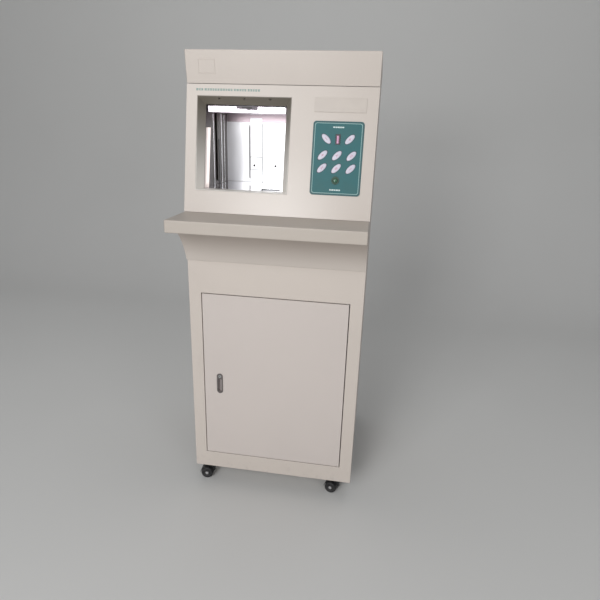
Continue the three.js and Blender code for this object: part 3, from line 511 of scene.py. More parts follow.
# ---------------------------------------------------------------- vents
# Louvres pressed out of the back panel over each vent slot, so that they shed dust. They are
# part of the sheet, and open downwards.
def louvre_pattern():
    vents = Pattern("louvres", (
        ("Length", "NodeSocketFloat", 0.112),
        ("Rise", "NodeSocketFloat", 0.0045),
        ("Wall", "NodeSocketFloat", 0.0010),
    ))
    length, rise, wall = vents.take("Length"), vents.take("Rise"), vents.take("Wall")
    tall = 1.9
    turned = (0.0, math.pi / 2, 0.0)

    def barrel(radius, long):
        rod = vents.node("GeometryNodeMeshCylinder", {},
                         {"Vertices": 40, "Radius": radius, "Depth": long})
        return vents.node("GeometryNodeTransform", {},
                          {"Geometry": rod, "Rotation": turned, "Scale": (tall, 1.0, 1.0)})

    behind = vents.node("GeometryNodeMeshCube", {}, {"Size": (1.0, 1.0, 1.0)})
    behind = vents.node("GeometryNodeTransform", {},
                        {"Geometry": behind, "Translation": (0.0, 0.0, -0.5)})
    under = vents.node("GeometryNodeTransform", {}, {
        "Geometry": vents.node("GeometryNodeMeshCube", {}, {"Size": (1.0, 1.0, 1.0)}),
        "Translation": (0.0, -0.5, 0.0),
    })
    scoop = vents.node("GeometryNodeMeshBoolean", {"operation": "DIFFERENCE", "solver": "EXACT"}, {
        "Mesh 1": barrel(rise, length),
        "Mesh 2": [barrel(rise - wall, length - 2.0 * wall), behind, under],
    })
    vents.end(vents.on_points(scoop))
    return vents


def back_vents():
    base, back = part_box("base_pan")[0].z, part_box("back_panel")[1].y
    slot_rise, pitch, slot_height = 0.720, 0.014, 0.005
    points = [(x, back, base + slot_rise + pitch * row + slot_height / 2 - 0.002)
              for x in (-0.120, 0.120) for row in range(7)]
    piece = louvre_pattern().grown("vent_louvres", points, [(0, 1, 0)] * len(points), cream)
    fit(piece, "cabinet", "cream_paint", cream)


back_vents()


# ---------------------------------------------------------------- door
# A pan of 1.5 mm sheet with two hat-section stiffeners spot-welded inside, in a cream coat of its
# own. It turns on a plain zinc-plated rod at its right edge.
def bar(name, low, high, radius=0.0006, segments=2):
    """A block between two corners with its edges broken."""
    low, high = Vector(low), Vector(high)
    outline = [(low.x, low.y, low.z), (high.x, low.y, low.z), (high.x, high.y, low.z),
               (low.x, high.y, low.z)]
    return softened(prism(name, outline, Vector(), Vector((0, 0, high.z - low.z))), radius,
                    segments)


def joined(name, pieces):
    shape = bmesh.new()
    for piece in pieces:
        shape.from_mesh(piece.data)
        bpy.data.objects.remove(piece)
    mesh = bpy.data.meshes.new(name)
    shape.to_mesh(mesh)
    shape.free()
    return shaded(linked(name, mesh))


def door():
    coat = powder_coat("door_powder_coat", (0.585, 0.527, 0.494))
    fit(worked("cabinet_door", "door_pan", fold=0.0009), "door", "cream_paint", coat,
        "cabinet_door")
    low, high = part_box("cabinet_door")
    skin, wall = low.y + 0.0016, 0.0012
    hats = []
    for share in (0.20, 0.80):
        z = low.z + (high.z - low.z) * share
        section = [(-0.026, 0), (-0.016, 0), (-0.013, 0.010), (0.013, 0.010), (0.016, 0),
                   (0.026, 0)]
        inner = [(0.026, wall), (0.0168, wall), (0.0138, 0.010 + wall), (-0.0138, 0.010 + wall),
                 (-0.0168, wall), (-0.026, wall)]
        outline = [(0, skin + depth, z + rise) for rise, depth in section + inner]
        hats.append(softened(prism("hat", outline, Vector((low.x + 0.03, 0, 0)),
                                   Vector((high.x - 0.03, 0, 0))), 0.0004))
    fit(joined("door_stiffeners", hats), "door", "cream_paint", coat)


door()
fit(worked("door_hinge_rod", "door_hinge_pin", fold=0.0005), "cabinet", "zinc_steel", zinc,
    "door_hinge_rod")


# ---------------------------------------------------------------- pull and lock
# A flush pull cast in zinc alloy and painted grey. Its rim covers the cut-out in the door, and the
# lock plug turns in a bore at its upper end.
def grey_casting():
    casting = Finish("grey_casting", (0.115, 0.102, 0.098), 0.42)
    grain = casting.noise(420, 3.0)
    depth = casting.node("ShaderNodeSeparateXYZ", {}, {0: casting.places}, output=1)
    rim = casting.mix(grain, (0.10, 0.09, 0.086), (0.15, 0.135, 0.13))
    cup = casting.mix(grain, (0.34, 0.30, 0.29), (0.42, 0.38, 0.37))
    casting.give("Base Color", casting.mix(depth.between(front - 0.0006, front + 0.0012), rim, cup))
    casting.give("Roughness", 0.36 + grain * 0.2)
    casting.bump(grain, 0.00005, 0.6)
    return casting.material


def turned(name, profile, centre, axis, segments=48):
    """Turns a profile of (along, radius) points about an axis through centre."""
    towards = Vector(axis).to_track_quat("Z", "Y").to_matrix()
    points, rings = [], []
    for along, radius in profile:
        count = segments if radius > 1e-9 else 1
        rings.append(range(len(points), len(points) + count))
        for i in range(count):
            angle = 2 * math.pi * i / segments
            local = Vector((radius * math.cos(angle), radius * math.sin(angle), along))
            points.append(Vector(centre) + towards @ local)
    faces = []
    closed = profile[0] == profile[-1]
    for here, there in zip(rings, rings[1:]):
        for i in range(segments):
            j = (i + 1) % segments
            a, b = here[i % len(here)], here[j % len(here)]
            c, d = there[j % len(there)], there[i % len(there)]
            faces.append(tuple(dict.fromkeys((a, b, c, d))))
    mesh = bpy.data.meshes.new(name)
    mesh.from_pydata(points, [], [f for f in faces if len(f) > 2])
    shape = bmesh.new()
    shape.from_mesh(mesh)
    if closed:
        bmesh.ops.remove_doubles(shape, verts=shape.verts, dist=1e-7)
    bmesh.ops.recalc_face_normals(shape, faces=shape.faces)
    shape.to_mesh(mesh)
    shape.free()
    mesh.shade_smooth()
    mesh.set_sharp_from_angle(angle=math.radians(32))
    return linked(name, mesh)


def pull_and_lock():
    casting = grey_casting()
    fit(worked("door_pull", "pull_casting", fold=0.0006, edge=0.0005), "door", "grey_casting",
        casting, "door_pull")
    lock = worked("lock_cam", "lock_plug_and_cam", fold=0.0005, edge=0.0004)
    low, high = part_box("lock_cam")
    x = (low.x + high.x) / 2
    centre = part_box("door_pull")[1].z - 0.009
    slit = bar("keyway", (x - 0.0006, low.y - 0.001, centre - 0.0028),
               (x + 0.0006, low.y + 0.004, centre + 0.0028), 0.0002)
    fit(carve(lock, slit), "lock", "zinc_steel", zinc, "lock_cam")


pull_and_lock()

# ---------------------------------------------------------------- console face
# The window frame is folded and welded from sheet. Its coat is toned darker with height, to stand in
# for shadow. Three small sensors look down through holes in its upper face, and a blank ivory plate
# is glued above the keypad.
inward = Vector(next(j["axis"] for j in frame["joints"] if j["name"] == "start_button_press"))
up_slope = Vector((0, -inward.z, inward.y))
console_foot = Vector((0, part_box("console_panel")[0].y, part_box("shelf")[1].z))


def on_console(across, rise, proud=0.0):
    """A point on the console: across, up its slope, and out of its face."""
    return console_foot + Vector((across, 0, 0)) + up_slope * rise - inward * proud


def rise_of(point):
    return (Vector(point) - console_foot).dot(up_slope)


def middle(node):
    low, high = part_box(node)
    return (low + high) / 2


def dark_lens():
    lens = Finish("dark_lens", (0.010, 0.008, 0.010), 0.12)
    lens.give("Roughness", 0.1 + lens.noise(300) * 0.1)
    return lens.material


def film(name, colour, shade, roughness=0.30):
    sheet = Finish(name, colour, roughness)
    cloud = sheet.noise(30, 2.0)
    sheet.give("Base Color", sheet.mix(cloud.between(0.3, 0.7), colour, shade))
    sheet.give("Roughness", roughness + cloud * 0.14)
    sheet.bump(sheet.noise(1800, 1.0), 0.00002, 0.5)
    return sheet.material


def console_face():
    low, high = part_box("window_bezel")
    coat = Finish("window_frame_coat", (0.43, 0.40, 0.335), 0.36)
    rise = coat.height().between(low.z, high.z)
    coat.give("Base Color", coat.mix(rise, (0.78, 0.75, 0.70), (0.175, 0.155, 0.125)))
    coat.give("Roughness", 0.32 + coat.noise(3.0) * 0.10)
    coat.bump(coat.noise(950, 2.0), 0.00006, 0.7)
    fit(worked("window_bezel", "window_frame", fold=0.0012), "cabinet", "cream_paint",
        coat.material,
        "window_bezel")
    ivory = film("ivory_plate", (0.53, 0.475, 0.43), (0.555, 0.50, 0.45))
    fit(worked("name_plate", "blank_name_plate", fold=0.0005, segments=3), "cabinet",
        "silver_label", ivory, "name_plate")
    depth, pitch, lens_radius = 0.00575, 0.065, 0.0022
    head = max(rise_of(vertex.co) for vertex in frame["nodes"]["window_bezel"].data.vertices)
    top = head - 0.0021
    lenses = [turned("lens", [(0, 0), (0, lens_radius), (0.0004, lens_radius), (0.0012, 0.0012),
                              (0.0014, 0)],
                     on_console((low.x + high.x) / 2 + pitch * place, top, -depth), -up_slope, 20)
              for place in (-1, 0, 1)]
    fit(joined("hand_sensors", lenses), "cabinet", "black_plastic", dark_lens())


console_face()


# ---------------------------------------------------------------- keypad
# A teal film keypad with a darker edge and a fine pale line inside it, printed from behind. Its
# oval keys are embossed and move a little. The marks on it are plain shapes.
def printed_ink(name, colour):
    ink = Finish(name, colour, 0.45)
    grain = ink.noise(500, 2.0)
    ink.give("Base Color", ink.mix(grain, colour, tuple(0.88 * c for c in colour)))
    ink.give("Roughness", 0.40 + grain * 0.12)
    return ink.material


def rounded(across, rise, half_width, half_height, radius, steps=8):
    """Points round a rectangle with round corners, as (across, rise) on the console."""
    points = []
    for quarter, (side, level) in enumerate(((1, 1), (-1, 1), (-1, -1), (1, -1))):
        for i in range(steps + 1):
            angle = math.pi / 2 * (quarter + i / steps)
            points.append((across + side * (half_width - radius) + radius * math.cos(angle),
                           rise + level * (half_height - radius) + radius * math.sin(angle)))
    return points


INK = 0.00008


def print_shape(outline, proud, depth=INK):
    """A printed shape: a very thin solid that lies on a surface this far out of the console."""
    points = [on_console(across, rise) for across, rise in outline]
    return prism("ink", points, -inward * (proud - depth / 4), -inward * (proud + depth))


def print_ring(outer, inner, proud):
    """A printed line between two outlines that have the same number of points."""
    count = len(outer)
    levels = (proud - INK / 4, proud + INK)
    points = [on_console(*p, level) for level in levels for loop in (outer, inner) for p in loop]
    faces = []
    for i in range(count):
        j = (i + 1) % count
        a, b, c, d = (k * count for k in range(4))
        faces += [(c + i, c + j, d + j, d + i), (a + j, a + i, b + i, b + j),
                  (a + i, a + j, c + j, c + i), (b + j, b + i, d + i, d + j)]
    mesh = bpy.data.meshes.new("ink")
    mesh.from_pydata(points, [], faces)
    shape = bmesh.new()
    shape.from_mesh(mesh)
    bmesh.ops.recalc_face_normals(shape, faces=shape.faces)
    shape.to_mesh(mesh)
    shape.free()
    return linked("ink", mesh)


def proud_of(node):
    """How far a console piece stands out of the console's face."""
    data = frame["nodes"][node].data
    return max(-(vertex.co - console_foot).dot(inward) for vertex in data.vertices)


def keypad():
    teal = film("teal_film", (0.010, 0.112, 0.120), (0.013, 0.125, 0.138), 0.46)
    dark_teal = printed_ink("dark_teal_ink", (0.020, 0.096, 0.104))
    pale = printed_ink("pale_line_ink", (0.330, 0.530, 0.520))
    white = printed_ink("white_ink", (0.62, 0.74, 0.73))
    fit(worked("keypad_plate", "keypad_film", fold=0.0004, edge=0.0003), "cabinet", "teal_film",
        teal,
        "keypad_plate")
    low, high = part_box("keypad_plate")
    rises = [rise_of(v.co) for v in frame["nodes"]["keypad_plate"].data.vertices]
    across, rise = (low.x + high.x) / 2, (min(rises) + max(rises)) / 2
    half_width, half_height = (high.x - low.x) / 2, (max(rises) - min(rises)) / 2
    face = proud_of("keypad_plate")
    loops = [rounded(across, rise, half_width - inset, half_height - inset, 0.008 - inset * 0.6)
             for inset in (0.0006, 0.0044, 0.0056)]
    fit(print_ring(loops[0], loops[1], face), "cabinet", "teal_film",
        dark_teal).name = "keypad_edge_print"
    fit(print_ring(loops[1], loops[2], face), "cabinet", "teal_film",
        pale).name = "keypad_line_print"
    dashes = []
    for level, widths in ((0.2215, (5, 3, 6, 4, 5)), (0.0725, (4, 6, 3, 6, 4))):
        total = sum(widths) + 0.9 * (len(widths) - 1)
        start = across - total / 2000
        for width in widths:
            end = start + width / 1000
            dashes.append(print_shape([(start, level - 0.0016), (end, level - 0.0016),
                                       (end, level + 0.0016), (start, level + 0.0016)], face))
            start = end + 0.0009
    fit(joined("keypad_dash_print", dashes), "cabinet", "teal_film", white)


keypad()


def key_marks(index, centre, lean, proud):
    """A plain mark for one key, drawn along the oval's long axis: a bar, a cross, a chevron with a bar, or two bars.
    """
    along = Vector((math.cos(lean), math.sin(lean)))
    aside = Vector((-along.y, along.x))

    def quad(start, end, half):
        start, end = Vector(start), Vector(end)
        side = (end - start).normalized().orthogonal() * half
        corners = (start - side, end - side, end + side, start + side)
        return [tuple(Vector(centre) + along * c.x + aside * c.y) for c in corners]

    half = 0.00055
    strokes = {
        0: [((-0.004, 0), (0.004, 0))],
        1: [((-0.004, 0), (0.004, 0)), ((0, -0.003), (0, 0.003))],
        2: [((-0.003, -0.0022), (0.0008, 0)), ((0.0008, 0), (-0.003, 0.0022)),
            ((0.003, -0.0022), (0.003, 0.0022))],
        3: [((-0.004, -0.0014), (0.004, -0.0014)), ((-0.004, 0.0014), (0.004, 0.0014))],
    }[index % 4]
    return [print_shape(quad(start, end, half), proud) for start, end in strokes]


def keys():
    key_white = film("key_white_film", (0.62, 0.60, 0.70), (0.57, 0.55, 0.65))
    pink = printed_ink("pink_ink", (0.58, 0.22, 0.32))
    key_shadow_ring_ink = printed_ink("key_shadow_ink", (0.045, 0.060, 0.085))
    length, breadth = 0.01425, 0.0065
    for index in range(8):
        node = f"key_{index + 1}"
        place = middle(node)
        centre = (place.x, rise_of(place))
        vertices = [v.co for v in frame["nodes"][node].data.vertices]
        far = max(vertices, key=lambda v: (v.x - place.x) + (v - place).dot(up_slope))
        leans_right = (far.x - place.x) + (far - place).dot(up_slope) > 1.9 * 0.0095
        lean = math.pi / 4 if leans_right else -math.pi / 4
        face = proud_of(node)
        steps = 40
        layers = ((0.0, 1.0), (0.00045, 1.0), (0.00075, 0.985), (0.00095, 0.95), (0.00108, 0.88),
                  (0.00116, 0.70), (0.0012, 0.0))
        foot = face - 0.0012
        points, faces = [], []
        for level, share in layers:
            for i in range(steps if share else 1):
                angle = 2 * math.pi * i / steps
                u, v = share * length * math.cos(angle), share * breadth * math.sin(angle)
                across = centre[0] + u * math.cos(lean) - v * math.sin(lean)
                rise = centre[1] + u * math.sin(lean) + v * math.cos(lean)
                points.append(on_console(across, rise, foot + level))
        for layer in range(len(layers) - 2):
            for i in range(steps):
                j = (i + 1) % steps
                here, there = layer * steps, (layer + 1) * steps
                faces.append((here + i, here + j, there + j, there + i))
        top = (len(layers) - 2) * steps
        faces += [(top + i, top + (i + 1) % steps, len(points) - 1) for i in range(steps)]
        faces.append(tuple(reversed(range(steps))))
        mesh = bpy.data.meshes.new(f"{node}_dome")
        mesh.from_pydata(points, [], faces)
        mesh.shade_smooth()
        mesh.set_sharp_from_angle(angle=math.radians(40))
        fit(linked(f"{node}_dome", mesh), node, "white_key", key_white, node)
        marks = joined(f"{node}_mark", key_marks(index, centre, lean, face - 0.00002))
        fit(marks, node, "white_key", pink)
        # A dark ring round each key on the film: painted shadow of the embossed key.
        ring = [[(centre[0] + s * length * math.cos(a) * math.cos(lean) - s * breadth * math.sin(a) * math.sin(lean),
                  centre[1] + s * length * math.cos(a) * math.sin(lean) + s * breadth * math.sin(a) * math.cos(lean))
                 for a in (2 * math.pi * i / steps for i in range(steps))] for s in (1.12, 1.03)]
        key_shadow_ring = print_ring(ring[0], ring[1], proud_of("keypad_plate"))
        key_shadow_ring.name = f"{node}_painted_shadow_ring"
        fit(key_shadow_ring, "cabinet", "teal_film", key_shadow_ring_ink)


keys()


# ---------------------------------------------------------------- display
# A smoked lens over one lit digit bar, let into the keypad.
def display():
    smoke = Finish("smoked_lens", (0.020, 0.012, 0.022), 0.10)
    smoke.give("Roughness", 0.2 + smoke.noise(120) * 0.08)
    fit(worked("display_window", "display_lens", fold=0.0004), "cabinet", "display_lens",
        smoke.material,
        "display_window")
    lit = Finish("lit_bar", (0.50, 0.22, 0.38), 0.3)
    glow = lit.noise(150, 2.0)
    lit.give("Base Color", lit.mix(glow, (0.46, 0.20, 0.34), (0.60, 0.30, 0.46)))
    lit.give("Emission Color", lit.mix(glow, (0.42, 0.15, 0.29), (0.55, 0.24, 0.40)))
    lit.shader.inputs["Emission Strength"].default_value = 0.2
    centre = middle("display_window")
    outline = rounded(centre.x - 0.0004, rise_of(centre) - 0.0006, 0.0021, 0.0090, 0.0008, 3)
    bar_print = print_shape(outline, proud_of("display_window"), 0.0001)
    bar_print.name = "display_bar"
    fit(bar_print, "cabinet", "display_lens", lit.material)


display()


# ---------------------------------------------------------------- start button
# A moulded green push button: a collar clamped through the keypad, and a cap that slides in it on
# a spring, with a lighter window in its face.
def start_button():
    deep = Finish("deep_green_plastic", (0.004, 0.055, 0.026), 0.4)
    deep.give("Roughness", 0.36 + deep.noise(200) * 0.12)
    light = Finish("light_green_plastic", (0.040, 0.250, 0.105), 0.25)
    light.give("Base Color", light.mix(light.noise(180), (0.008, 0.085, 0.040),
                                       (0.018, 0.125, 0.058)))
    for node, name, body in (("start_button_collar", "button_collar", "cabinet"),
                             ("start_button", "button_cap", "start_button")):
        fit(worked(node, name, fold=0.0006, edge=0.0005), body, "green_plastic", deep.material,
            node)
    centre = middle("start_button")
    face = proud_of("start_button")
    place = on_console(centre.x, rise_of(centre), face)
    profile = [(-0.0003, 0.0045), (0.0001, 0.0045), (0.0005, 0.0040), (0.0007, 0.0028), (0.0008, 0)]
    fit(turned("button_window", [(-0.0003, 0), *profile], place, -inward, 40), "start_button",
        "green_plastic", light.material)


start_button()


# ---------------------------------------------------------------- console prints
# A line of plain teal dashes is screen printed above the window, in place of lettering, and a square
# outline is embossed at the left of the hood's band.
def caution_line():
    teal = printed_ink("teal_print", (0.085, 0.250, 0.225))
    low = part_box("window_bezel")[0]
    start, rise = low.x - 0.004, 0.3028
    marks = []
    for width in (6, 4, 5, 0, 6, 5, 5, 4, 5, 5, 6, 5, 4, 5, 5, 0, 5, 6, 5, 4, 5, 0, 5, 5, 4, 5, 5):
        end = start + width / 1000
        for level in (-0.0019, 0.0, 0.0019) if width else ():
            marks.append(print_shape([(start, rise + level - 0.0006), (end, rise + level - 0.0006),
                                      (end, rise + level + 0.0006), (start, rise + level + 0.0006)],
                                      0.0))
        start = end + 0.0017
    fit(joined("dash_print", marks), "cabinet", "teal_film", teal)


def hood_emboss():
    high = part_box("top_cover")[1]
    foot = Vector((0, console_foot.y, console_foot.z)) + up_slope * 0.3172
    crest = min(v.co.y for v in frame["nodes"]["top_cover"].data.vertices if v.co.z > high.z - 1e-4)
    head = Vector((0, crest, high.z))
    along = (head - foot).normalized()
    out = Vector((0, -along.z, along.y))
    height = (head - foot).length
    left, right, bottom, top, middle = -0.2083, -0.1645, 0.29, 0.72, 0.505
    corners = [(left, bottom), (right, bottom), (right, top), (left, top)]
    centre = Vector(((left + right) / 2, 0, 0)) + foot + along * height * middle

    def loop(shrink, level):
        return [Vector((x, 0, 0)) * shrink + Vector((centre.x * (1 - shrink), 0, 0)) + foot
                + along * height * (middle + (share - middle) * shrink) + out * level
                for x, share in corners]

    rings = [loop(1.0, -0.0002), loop(0.985, 0.0007), loop(0.90, 0.0007), loop(0.88, 0.0001)]
    points = [p for ring in rings for p in ring]
    faces = [(4 * r + i, 4 * r + (i + 1) % 4, 4 * r + 4 + (i + 1) % 4, 4 * r + 4 + i)
             for r in range(3) for i in range(4)]
    faces += [(12, 13, 14, 15), (3, 2, 1, 0)]
    mesh = bpy.data.meshes.new("hood_emboss")
    mesh.from_pydata(points, [], faces)
    shape = bmesh.new()
    shape.from_mesh(mesh)
    bmesh.ops.recalc_face_normals(shape, faces=shape.faces)
    shape.to_mesh(mesh)
    shape.free()
    fit(linked("hood_emboss", mesh), "lid", "cream_paint", cream)


caution_line()
hood_emboss()


# ---------------------------------------------------------------- chamber
# The chamber is lined with polished and satin stainless plate. Its left wall is brushed, and its steel
# is a much darker copy, as painted shade, with a pale nylon strip at its front edge and a black bar
# as a painted slot shadow. The back wall has the strap track screwed to it, with thin black bars at
# the track's edges as painted shadow lines.
def polished_steel(name, roughness, colour=(0.80, 0.80, 0.82), metallic=1.0):
    steel = Finish(name, colour, roughness, metallic)
    smudge = steel.noise(9, 4.0)
    lines = steel.noise(220, 2.0, (1, 1, 0.03))
    steel.give("Base Color", steel.mix(smudge.between(0.35, 0.8) * 0.3, colour,
                                       tuple(0.86 * c for c in colour)))
    steel.give("Roughness", roughness + smudge * 0.04 + lines * roughness * 0.4)
    return steel.material


def chamber():
    mirror = polished_steel("mirror_steel", 0.07)
    satin = polished_steel("satin_steel", 0.24, (0.92, 0.92, 0.95), 0.25)
    # The left wall's steel is much darker than the other plate: painted shade.
    shaded_brushed_steel = polished_steel("brushed_wall_steel", 0.26, (0.12, 0.105, 0.10))
    for node in ("chamber_right_wall", "chamber_floor"):
        fit(worked(node, f"{node}_plate", fold=0.0005), "cabinet", "polished_steel", mirror, node)
    for node in ("chamber_back_wall", "strap_track_strip"):
        fit(worked(node, f"{node}_plate", fold=0.0005), "cabinet", "polished_steel", satin, node)
    fit(worked("chamber_left_wall", "chamber_left_wall_plate", fold=0.0005), "cabinet",
        "polished_steel",
        shaded_brushed_steel, "chamber_left_wall")

    low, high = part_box("chamber_left_wall")
    wall_x, foot_z = high.x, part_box("chamber_floor")[1].z + 0.0005
    head_z = foot_z + 0.150
    back_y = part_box("chamber_back_wall")[0].y
    edge, lean = low.y + 0.001, -inward.z / inward.y * (head_z - foot_z)
    guide = prism("left_guide_strip", [(0, 0, 0), (0, 0.012, 0), (0.009, 0.012, 0)],
                  Vector((wall_x, edge, foot_z)), Vector((wall_x, edge + lean, head_z)))
    nylon = film("pale_nylon", (0.95, 0.86, 0.83), (0.93, 0.82, 0.78))
    fit(softened(guide, 0.0004), "cabinet", "polished_steel", nylon)

    ribs = []
    for y, width, rise in ((front + 0.108, 0.004, 0.185), (front + 0.178, 0.006, 0.185),
                           (front + 0.205, 0.003, 0.185)):
        ribs.append(bar("rib", (wall_x, y, foot_z), (wall_x + 0.0022, y + width, foot_z + rise),
                        0.0005))
    fit(joined("left_wall_ribs", ribs), "cabinet", "polished_steel", mirror)

    # A black bar on the left wall: a painted shadow of a slot.
    black = dark_lens()
    wall_slot_shadow = bar("left_wall_painted_slot_shadow", (wall_x, front + 0.158, foot_z),
               (wall_x + 0.0008, front + 0.167, foot_z + 0.12), 0.0002)
    fit(wall_slot_shadow, "cabinet", "black_plastic", black)

    strip_low, strip_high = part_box("strap_track_strip")
    seam = foot_z - 0.0005
    clamp = bar("strap_clamp_plate", (strip_low.x + 0.0006, strip_low.y - 0.0014, seam + 0.037),
                (strip_high.x - 0.0006, strip_low.y, seam + 0.071), 0.0004)
    fit(clamp, "cabinet", "polished_steel", satin)
    # Thin black bars at the strap track's right edge and along the clamp plate: painted shadow lines.
    shadow_lines = [bar("seam", (strip_high.x, back_y - 0.0004, seam),
                 (strip_high.x + 0.0012, back_y, seam + 0.164), 0.0001)]
    for level, thick in ((0.0358, 0.0012), (0.0711, 0.0014)):
        shadow_lines.append(bar("seam", (strip_low.x + 0.0006, strip_low.y - 0.0008, seam + level),
                         (strip_high.x - 0.0006, strip_low.y, seam + level + thick), 0.0001))
    fit(joined("strap_track_painted_shadow_lines", shadow_lines), "cabinet", "black_plastic",
        printed_ink("seam_sealant", (0.03, 0.028, 0.03)))
    warm = polished_steel("rail_steel", 0.28, (0.40, 0.33, 0.36))
    rail = bar("upper_rail", (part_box("chamber_back_wall")[0].x + 0.003, back_y - 0.0019,
                              seam + 0.168),
               (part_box("chamber_back_wall")[1].x - 0.003, back_y, seam + 0.196), 0.0005)
    fit(rail, "cabinet", "polished_steel", warm)
    screw_row("strap_track_screws", "cabinet", [
        ((strip_low.x + 0.012, strip_low.y - 0.0014, seam + 0.048), (0, -1, 0)),
        ((strip_high.x + 0.040, back_y, seam + 0.048), (0, -1, 0)),
    ], 0.0032, 0.0016, black, "black_plastic")


# A small light in the plane of the window faces in, to stand in for the light of a bright room.
def chamber_light():
    low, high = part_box("window_bezel")
    behind_face, size, power = 0.027, (0.20, 0.20), 0.11
    middle = on_console((low.x + high.x) / 2, rise_of((low + high) / 2), -behind_face)
    soft_light("chamber_light", middle, middle + inward, size, power)


chamber()
chamber_light()


# ---------------------------------------------------------------- press
# A polished press plate with bronze bushes runs on two ground columns, driven by a screw. A bridge
# ties the columns together above it, and the gear motor hangs under the deck.
def ground_steel():
    ground = Finish("ground_steel", (0.52, 0.52, 0.54), 0.28, 1.0)
    rings = ground.noise(500, 2.0, (0.2, 0.2, 4))
    ground.give("Roughness", 0.22 + rings * 0.14)
    ground.bump(rings, 0.00001, 0.4)
    return ground.material


def bronze():
    metal = Finish("bronze", (0.48, 0.30, 0.13), 0.35, 1.0)
    stain = metal.noise(120, 3.0)
    metal.give("Base Color", metal.mix(stain, (0.48, 0.30, 0.13), (0.36, 0.22, 0.10)))
    metal.give("Roughness", 0.3 + stain * 0.15)
    return metal.material


ground = ground_steel()


def press():
    plate_steel = polished_steel("press_plate_steel", 0.16, (0.40, 0.36, 0.40))
    fit(worked("press_plate", "press_plate_casting", fold=0.0012, edge=0.0005), "press",
        "polished_steel",
        plate_steel, "press_plate")
    low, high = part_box("press_plate")
    slot_x = (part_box("chamber_floor")[0].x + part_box("chamber_floor")[1].x) / 2
    # A dark plate with a black tab on the press plate's lip: painted shade and a painted shadow of the strap slot.
    plate = bar("press_tab_plate_painted_shade", (slot_x - 0.026, low.y - 0.0006, low.z + 0.0098),
                (slot_x + 0.030, low.y, low.z + 0.0172), 0.0002)
    fit(plate, "press", "polished_steel", polished_steel("tab_steel", 0.45, (0.15, 0.135, 0.15)))
    tab_shadow = bar("press_tab_painted_shadow", (slot_x - 0.012, low.y - 0.0012, low.z + 0.0112),
              (slot_x + 0.015, low.y, low.z + 0.0152), 0.0004)
    fit(tab_shadow, "press", "black_plastic", printed_ink("tab_coating", (0.02, 0.018, 0.02)))
    wear = bronze()
    for node, side in (("guide_column_left", "left"), ("guide_column_right", "right")):
        column = middle(node)
        fit(worked(node, f"{side}_column", fold=0.0008), "cabinet", "ground_steel", ground, node)
        bore, outside, top = 0.0063, 0.0092, high.z
        ring = [(top, bore), (top + 0.0022, bore), (top + 0.0022, outside), (top, outside + 0.0006),
                (top, bore)]
        bush = turned(f"{side}_bush", ring, (column.x, column.y, 0), (0, 0, 1))
        fit(bush, "press", "ground_steel", wear)
        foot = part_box(node)[0].z
        collar = [(foot, 0.0061), (foot, 0.0115), (foot + 0.007, 0.0115), (foot + 0.008, 0.0105),
                  (foot + 0.008, 0.0061), (foot, 0.0061)]
        fit(turned(f"{side}_column_foot", collar, (column.x, column.y, 0), (0, 0, 1)), "cabinet",
            "ground_steel", ground)
    press_screw_thread()
    nut_top, screw = high.z, middle("press_screw")
    ring = [(nut_top, 0.0074), (nut_top + 0.0022, 0.0074), (nut_top + 0.0022, 0.0098),
            (nut_top, 0.0104), (nut_top, 0.0074)]
    fit(turned("press_nut", ring, (screw.x, screw.y, 0), (0, 0, 1)), "press", "ground_steel", wear)


def press_screw_thread():
    """A trapezoid thread: one ridge that winds round the screw's core, 10 mm to the turn."""
    low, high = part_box("press_screw")
    centre, outside, core, lead = (low + high) / 2, (high.x - low.x) / 2, 0.0058, 0.010
    steps_per_turn, section = 24, ((-0.30, 0.0), (-0.16, 1.0), (0.16, 1.0), (0.30, 0.0))
    turns = (high.z - low.z - 0.024) / lead
    count = int(turns * steps_per_turn)
    points, faces = [], []
    for i in range(count + 1):
        angle = 2 * math.pi * i / steps_per_turn
        rise = low.z + 0.012 + lead * i / steps_per_turn
        for along, share in section:
            radius = core - 0.0003 + (outside - core + 0.0003) * share
            points.append((centre.x + radius * math.cos(angle), centre.y + radius * math.sin(angle),
                           rise + along * lead))
    for i in range(count):
        here, there = 4 * i, 4 * (i + 1)
        faces += [(here + k, here + (k + 1) % 4, there + (k + 1) % 4, there + k) for k in range(4)]
    faces += [(3, 2, 1, 0), tuple(4 * count + k for k in range(4))]
    mesh = bpy.data.meshes.new("thread")
    mesh.from_pydata(points, [], faces)
    shape = bmesh.new()
    shape.from_mesh(mesh)
    bmesh.ops.recalc_face_normals(shape, faces=shape.faces)
    shape.to_mesh(mesh)
    shape.free()
    core_profile = [(low.z, 0), (low.z, core - 0.0008), (low.z + 0.001, core),
                    (high.z - 0.001, core),
                    (high.z, core - 0.0008), (high.z, 0)]
    rod = turned("core", core_profile, (centre.x, centre.y, 0), (0, 0, 1), 32)
    fit(joined("press_screw_threaded", [linked("thread", mesh), rod]), "press_screw",
        "ground_steel",
        ground, "press_screw")


press()


def press_bridge():
    fit(worked("press_bridge", "press_bridge_plate", fold=0.0015), "cabinet", "zinc_steel", zinc,
        "press_bridge")
    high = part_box("press_bridge")[1]
    spots = [middle(node) for node in ("guide_column_left", "guide_column_right", "press_screw")]
    screw_row("bridge_screws", "cabinet", [((s.x, s.y, high.z), (0, 0, 1)) for s in spots], 0.006,
              0.0034)


